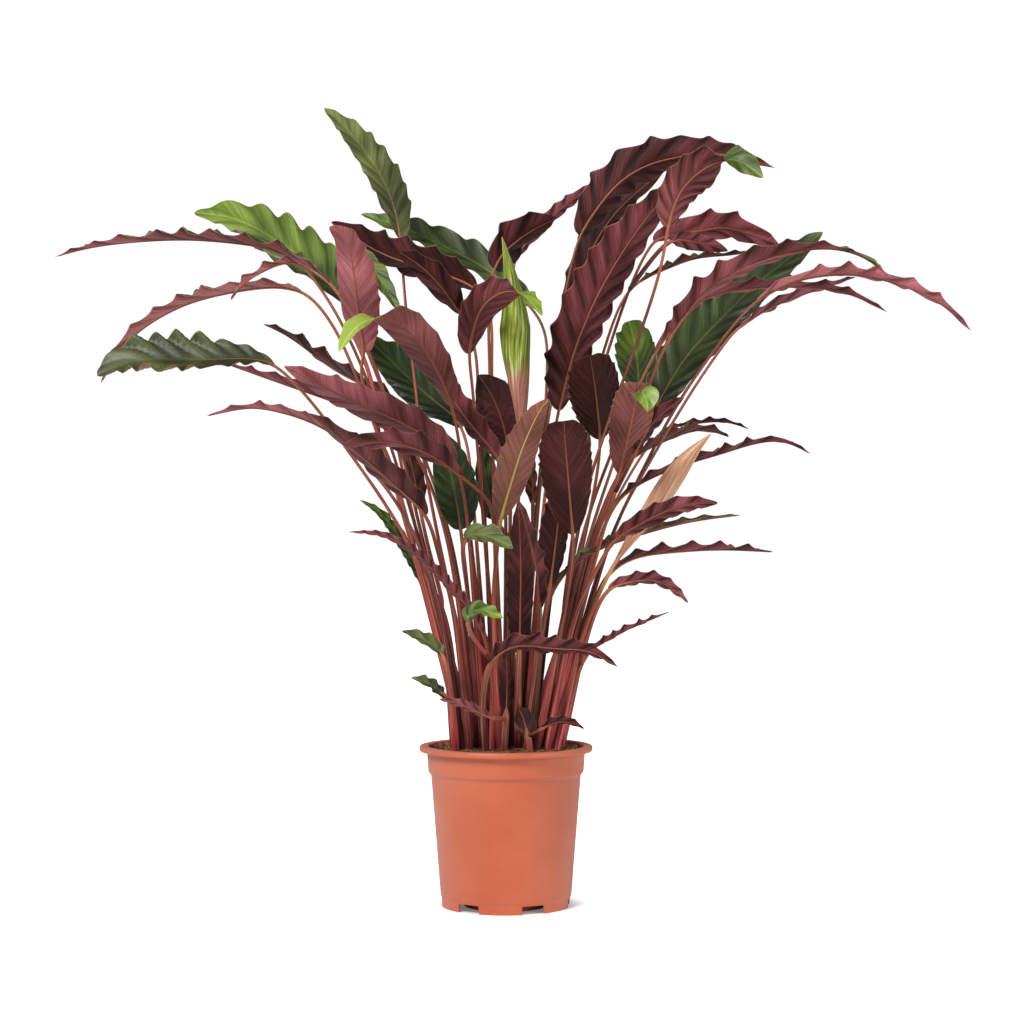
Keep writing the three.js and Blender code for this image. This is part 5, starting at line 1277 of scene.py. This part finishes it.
def fillet(outline):
    """Rounds corners of a closed outline, given as (x, y, rounding), by a curve from the corner's two sides:
    (1 - t)^2 start + 2 t (1 - t) corner + t^2 end. It takes less than half of a side."""
    corners = np.array(outline, float)[:, :2]
    t = np.linspace(0, 1, ROUNDING_STEPS + 1)[:, None]
    rounded = []
    for i, corner in enumerate(corners):
        rounding = outline[i][2]
        if rounding == 0:
            rounded.append(corner[None])
            continue
        before, after = corners[i - 1] - corner, corners[(i + 1) % len(corners)] - corner
        start, end = (
            corner + side / np.linalg.norm(side) * min(rounding, ROUNDING_SHARE * np.linalg.norm(side))
            for side in (before, after)
        )
        rounded.append((1 - t) ** 2 * start + 2 * t * (1 - t) * corner + t ** 2 * end)
    return np.concatenate(rounded)


def refine(outline, longest):
    """Adds points along the long sides of an outline, so that none is over the given length."""
    points = []
    for near, far in zip(outline[:-1], outline[1:]):
        steps = max(1, math.ceil(np.linalg.norm(far - near) / longest))
        points.extend(mix(near, far, step / steps) for step in range(steps))
    return np.array(points + [outline[-1]])


def turned_rings(radii, heights, angle):
    """Points of rings about the axis, ring by ring: (radius cos, radius sin, height)."""
    out = np.asarray(radii, float)[:, None]
    up = np.repeat(np.asarray(heights, float)[:, None], len(angle), axis=1)
    return np.stack([out * np.cos(angle), out * np.sin(angle), up], axis=-1).reshape(-1, 3)


def turned_solid(name, outline, sides, material):
    """A closed solid turned about the axis, from an outline of (radius, height) with both ends on it."""
    inner = outline[1:-1]
    ring = turned_rings(inner[:, 0], inner[:, 1], 2 * math.pi * np.arange(sides) / sides)
    faces = grid_faces(len(inner), sides, closed=True).tolist()
    last = (len(inner) - 1) * sides
    for i in range(sides):
        j = (i + 1) % sides
        faces += [(j, i, len(ring)), (last + i, last + j, len(ring) + 1)]
    points = np.vstack([ring, [0, 0, outline[0, 1]], [0, 0, outline[-1, 1]]])
    return new_piece(name, points, faces, [material])


def wall_radius(height):
    """Inner radius of the pot's tapered wall at a height: a straight line from foot to top, less the wall."""
    share = (height - SKIRT_HEIGHT) / (BODY_TOP_HEIGHT - SKIRT_HEIGHT)
    return mix(BODY_FOOT, BODY_TOP, share) - WALL


def cut_away(piece, cutters):
    """Takes the cutters' shapes out of a piece, and keeps the result as its plain mesh."""
    for cutter in cutters:
        modifier = piece.modifiers.new("cut", "BOOLEAN")
        modifier.object = cutter
        modifier.solver = "EXACT"
    graph = bpy.context.evaluated_depsgraph_get()
    mesh = bpy.data.meshes.new_from_object(piece.evaluated_get(graph))
    piece.modifiers.clear()
    old = piece.data
    piece.data = mesh
    bpy.data.meshes.remove(old)
    for cutter in cutters:
        bpy.data.objects.remove(cutter)


def prism(outline, near, far, turn=0):
    """A cutter: an outline in breadth and height, drawn out from near to far and turned about the axis."""
    count = len(outline)
    x, y, z = np.array([(out, breadth, height) for out in (near, far) for breadth, height in outline]).T
    cos, sin = math.cos(turn), math.sin(turn)
    points = np.column_stack([x * cos - y * sin, x * sin + y * cos, z])
    faces = [tuple(range(count))[::-1], tuple(range(count, 2 * count))]
    faces += [(i, (i + 1) % count, count + (i + 1) % count, count + i) for i in range(count)]
    return new_piece("cutter", points, faces, smooth=False)


def make_pot():
    """The nursery pot: turned from its rounded outline, with notches under the skirt and drain holes."""
    outline = [
        (0, 0, 0), (PAD_RADIUS, 0, 1), (CHANNEL_INNER, CHANNEL_UNDER, 1),
        (SKIRT_RADIUS - WALL, CHANNEL_UNDER, 0.6), (SKIRT_RADIUS - WALL, 0, 0.4), (SKIRT_RADIUS, 0, 0.5),
        (SKIRT_RADIUS + SKIRT_FLARE, SKIRT_HEIGHT - SKIRT_SHOULDER, 0.8), (BODY_FOOT, SKIRT_HEIGHT, 0.8),
        (BODY_TOP, BODY_TOP_HEIGHT, 1.2), (COLLAR_FOOT, COLLAR_FOOT_HEIGHT, 1.0), (COLLAR_TOP, LIP_FOOT, 1.6),
        (LIP_RADIUS, LIP_FOOT, 1.6), (LIP_RADIUS, RIM_HEIGHT, 2.4), (MOUTH_RADIUS, RIM_HEIGHT, 1.8),
        (COLLAR_FOOT - WALL, COLLAR_FOOT_HEIGHT + INSIDE_STEP, 1),
        (BODY_TOP - WALL, BODY_TOP_HEIGHT + INSIDE_STEP, 1),
        (wall_radius(CHANNEL_FLOOR), CHANNEL_FLOOR, 1.5), (CHANNEL_INNER - INSIDE_STEP, CHANNEL_FLOOR, 1),
        (PAD_RADIUS - PAD_SLOPE, FLOOR, 1), (0, FLOOR, 0),
    ]
    piece = turned_solid("pot_moulded", refine(fillet(outline), POT_FACE), POT_SIDES, PLASTIC)
    half = NOTCH_WIDTH / 2
    notch = fillet([
        (-half - NOTCH_FLARE, -NOTCH_BELOW, 0), (half + NOTCH_FLARE, -NOTCH_BELOW, 0),
        (half, NOTCH_HEIGHT, NOTCH_ROUNDING), (-half, NOTCH_HEIGHT, NOTCH_ROUNDING),
    ])
    around = 2 * math.pi * np.arange(DRAIN_SIDES) / DRAIN_SIDES
    drain = DRAIN_RADIUS * np.column_stack([np.sin(around), np.cos(around)])
    middle = (CHANNEL_INNER + SKIRT_RADIUS) / 2 * MM
    upright = Matrix.Rotation(math.radians(90), 4, "Y")
    cutters = []
    for i in range(NOTCHES):
        angle = FIRST_NOTCH + 2 * math.pi * i / NOTCHES
        place = Matrix.Translation((middle * math.cos(angle), middle * math.sin(angle), SKIRT_HEIGHT * MM))
        cutters.append(prism(notch, SKIRT_RADIUS - CUT_REACH, SKIRT_RADIUS + CUT_REACH, angle))
        cutters.append(prism(drain, -CUT_REACH, CUT_REACH))
        cutters[-1].matrix_world = place @ upright
    bpy.context.view_layer.update()
    cut_away(piece, cutters)
    return piece


def make_soil(source):
    """The potting mix: a solid of the CAD's outline with a lumpy top, strewn with crumbs and fibres."""
    shape = Shape()
    radius = COLLAR_FOOT - WALL - SOIL_EDGE_GAP
    angle = 2 * math.pi * np.arange(SOIL_SIDES) / SOIL_SIDES
    top = turned_rings(np.linspace(SOIL_MIDDLE, 1, SOIL_RINGS) * radius, np.zeros(SOIL_RINGS), angle)
    lumps = sum(height * soft_noise(top[:, :2], scale, source, terms) for scale, height, terms in SOIL_LUMPS)
    top[:, 2] = SOIL_TOP + HEAP - LUMP_DROP + np.clip(lumps, *LUMP_LIMITS)
    top[:, 2] -= EDGE_DROP * smooth_step(EDGE_DROP_FROM, 1.0, np.hypot(top[:, 0], top[:, 1]) / radius)
    shape.add(top, grid_faces(SOIL_RINGS, SOIL_SIDES, closed=True), 0)
    bottom = CHANNEL_FLOOR + SOIL_GAP
    walls = np.array([
        (radius, SOIL_TOP - SOIL_EDGE_DEPTH),
        (COLLAR_FOOT - WALL - 3 * SOIL_GAP, COLLAR_FOOT_HEIGHT + INSIDE_STEP),
        (BODY_TOP - WALL - 2 * SOIL_GAP, BODY_TOP_HEIGHT + INSIDE_STEP),
        (wall_radius(bottom) - SOIL_GAP, bottom), (CHANNEL_INNER - INSIDE_STEP - SOIL_GAP, bottom),
        (PAD_RADIUS - PAD_SLOPE - SOIL_GAP, FLOOR + SOIL_GAP), (SOIL_UNDER_MIDDLE, FLOOR + SOIL_GAP),
    ])
    quads = grid_faces(len(walls), SOIL_SIDES, closed=True)
    shape.add(turned_rings(walls[:, 0], walls[:, 1], angle), quads, 0)
    add_crumbs(shape, source, radius)
    add_fibres(shape, source, radius)
    return shape.build("soil_loose", [EARTH])


def scatter(count, radius, source):
    """Even random places in a disc: the radius goes with the root of a random share."""
    turn = source.uniform(0, 2 * math.pi, count)
    out = radius * np.sqrt(source.uniform(0, 1, count))
    return out * np.cos(turn), out * np.sin(turn)


def add_crumbs(shape, source, radius):
    """Small rough lumps that lie on the soil: squashed spheres with their points shaken."""
    x, y = scatter(CRUMBS, radius - CRUMB_MARGIN, source)
    size = source.uniform(*CRUMB_SIZE, CRUMBS)
    polar = np.linspace(CRUMB_POLE, math.pi - CRUMB_POLE, CRUMB_BANDS)
    ball = turned_rings(np.sin(polar), np.cos(polar), 2 * math.pi * np.arange(CRUMB_SIDES) / CRUMB_SIDES)
    quads = grid_faces(CRUMB_BANDS, CRUMB_SIDES, closed=True)
    for i in range(CRUMBS):
        shaken = ball * source.uniform(*CRUMB_SHAKE, (len(ball), 1)) * size[i] * CRUMB_SHAPE
        centre = np.array([x[i], y[i], SOIL_TOP + HEAP + source.uniform(*CRUMB_RISE)])
        shape.add(shaken + centre, quads, 0, seed=source.uniform(*CRUMB_PALENESS))


def add_fibres(shape, source, radius):
    """Thin bits of bark and coir that lie across each other on the soil, bent as a parabola."""
    x, y = scatter(FIBRES, radius - FIBRE_MARGIN, source)
    quads = grid_faces(FIBRE_POINTS, FIBRE_SIDES, closed=True)
    for i in range(FIBRES):
        length = source.uniform(*FIBRE_LENGTH)
        turn = source.uniform(0, math.pi)
        lean = source.normal(0, FIBRE_LEAN)
        steps = np.linspace(-0.5, 0.5, FIBRE_POINTS) * length
        bend = source.normal(0, FIBRE_BEND) * steps ** 2
        line = np.column_stack([
            x[i] + steps * math.cos(turn) - bend * math.sin(turn),
            y[i] + steps * math.sin(turn) + bend * math.cos(turn),
            SOIL_TOP + HEAP + FIBRE_LIFT + steps * lean + source.uniform(*FIBRE_RISE),
        ])
        forward = unit(np.gradient(line, axis=0))
        across = unit(np.cross(forward, [0, 0, 1.0]))
        thickness = np.full(FIBRE_POINTS, source.uniform(*FIBRE_RADIUS))
        ring, _ = tube(line, across, np.cross(across, forward), thickness, FIBRE_SIDES)
        shape.add(ring, quads, 0, seed=source.uniform(*FIBRE_PALENESS))


def make_leaf_piece(node, members, source):
    """One leaf, or one shoot of several, as one mesh."""
    shape = Shape()
    for leaf in members:
        looks = dict(zip(("blush", "fresh", "warm"), leaf.row["look"]), seed=source.uniform(0, 1))
        points, where = spine(leaf)
        if leaf.rolled:
            add_rolled(shape, leaf, points, where, looks)
        else:
            add_blade(shape, leaf, points, where, source, looks)
        add_stem(shape, leaf, points, where, looks)
    faces = [YOUNG, YOUNG] if members[0].rolled else [TOPSIDE, UNDERSIDE]
    return shape.build(f"grown_{node}", faces + [STEMS])


def finish_piece(piece, node):
    """Puts a piece on the only body and hides the CAD node's part that it replaces."""
    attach(piece, BODY)
    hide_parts(node)


rng = np.random.default_rng(SEED)
leaves = []
for row in LEAVES:
    leaves.append(Leaf(row, leaves))
clear_leaves(leaves)
for node in dict.fromkeys(leaf.node for leaf in leaves):
    finish_piece(make_leaf_piece(node, [leaf for leaf in leaves if leaf.node == node], rng), node)
finish_piece(make_pot(), "pot")
finish_piece(make_soil(rng), "soil")


# Studio: a white floor that goes over into a white surround, a soft key light and a fill.
def make_floor():
    """A wide white floor: it glows for the camera alone, so only its near shadow shows, and glows less near
    the pot, a painted darkening that deepens the pot's real contact shadow.
    """
    net = Finish("studio_white", Roughness=0.9, Specular_IOR_Level=0.1, Base_Color=(0.92, 0.92, 0.92, 1),
                 Emission_Color=(1, 1, 1, 1))
    away = net.add("ShaderNodeVectorMath", {0: net.object_place()}, operation="LENGTH").outputs["Value"]
    # Painted shadow: the glow fades near the pot, deepening its real contact shadow.
    glow = net.stretch(away, DARK_RING * MM, GLOWING_FROM * MM, DARK_GLOW, 1.0)
    seen = net.add("ShaderNodeLightPath").outputs["Is Camera Ray"]
    white = net.set(Emission_Strength=net.times(glow, seen))
    corners = [(-FLOOR_SIDE, FLOOR_FRONT, 0), (FLOOR_SIDE, FLOOR_FRONT, 0), (FLOOR_SIDE, FLOOR_BACK, 0),
               (-FLOOR_SIDE, FLOOR_BACK, 0)]
    new_piece("studio_floor", corners, [(0, 1, 2, 3)], [white], smooth=False)


def make_light(name, place, size, power):
    """A square area light that faces the middle of the plant."""
    data = bpy.data.lights.new(name, "AREA")
    data.shape = "SQUARE"
    data.size = size * MM
    data.energy = power
    lamp = bpy.data.objects.new(name, data)
    lamp.location = Vector(place) * MM
    lamp.rotation_euler = (Vector(LIGHT_TARGET) - Vector(place)).to_track_quat("-Z", "Y").to_euler()
    bpy.context.scene.collection.objects.link(lamp)


def make_surround():
    """A white world, brighter to the camera than as a light."""
    world = bpy.data.worlds.new("studio_surround")
    bpy.context.scene.world = world
    world.use_nodes = True
    net = Net(world.node_tree)
    seen = net.add("ShaderNodeLightPath").outputs["Is Camera Ray"]
    surround = net.tree.nodes["Background"].inputs
    net.put(surround["Color"], (1, 1, 1, 1))
    net.put(surround["Strength"], net.stretch(seen, 0.0, 1.0, SURROUND_LIGHT, SURROUND_SEEN, "LINEAR"))


def make_camera():
    """A level camera at the eye, whose picture is one millimetre to a pixel at the pot's axis."""
    data = bpy.data.cameras.new("camera")
    data.sensor_width = SENSOR
    data.lens = SENSOR * EYE_DISTANCE / PIXELS
    camera = bpy.data.objects.new("camera", data)
    camera.location = (EYE_X * MM, -EYE_DISTANCE * MM, EYE_Z * MM)
    camera.rotation_euler = (math.radians(90), 0, 0)
    bpy.context.scene.collection.objects.link(camera)
    bpy.context.scene.camera = camera


make_floor()
make_light("key_light", **KEY_LIGHT)
make_light("fill_light", **FILL_LIGHT)
make_surround()
make_camera()

bpy.context.scene.view_settings.view_transform = "Standard"
bpy.context.scene.view_settings.look = "None"
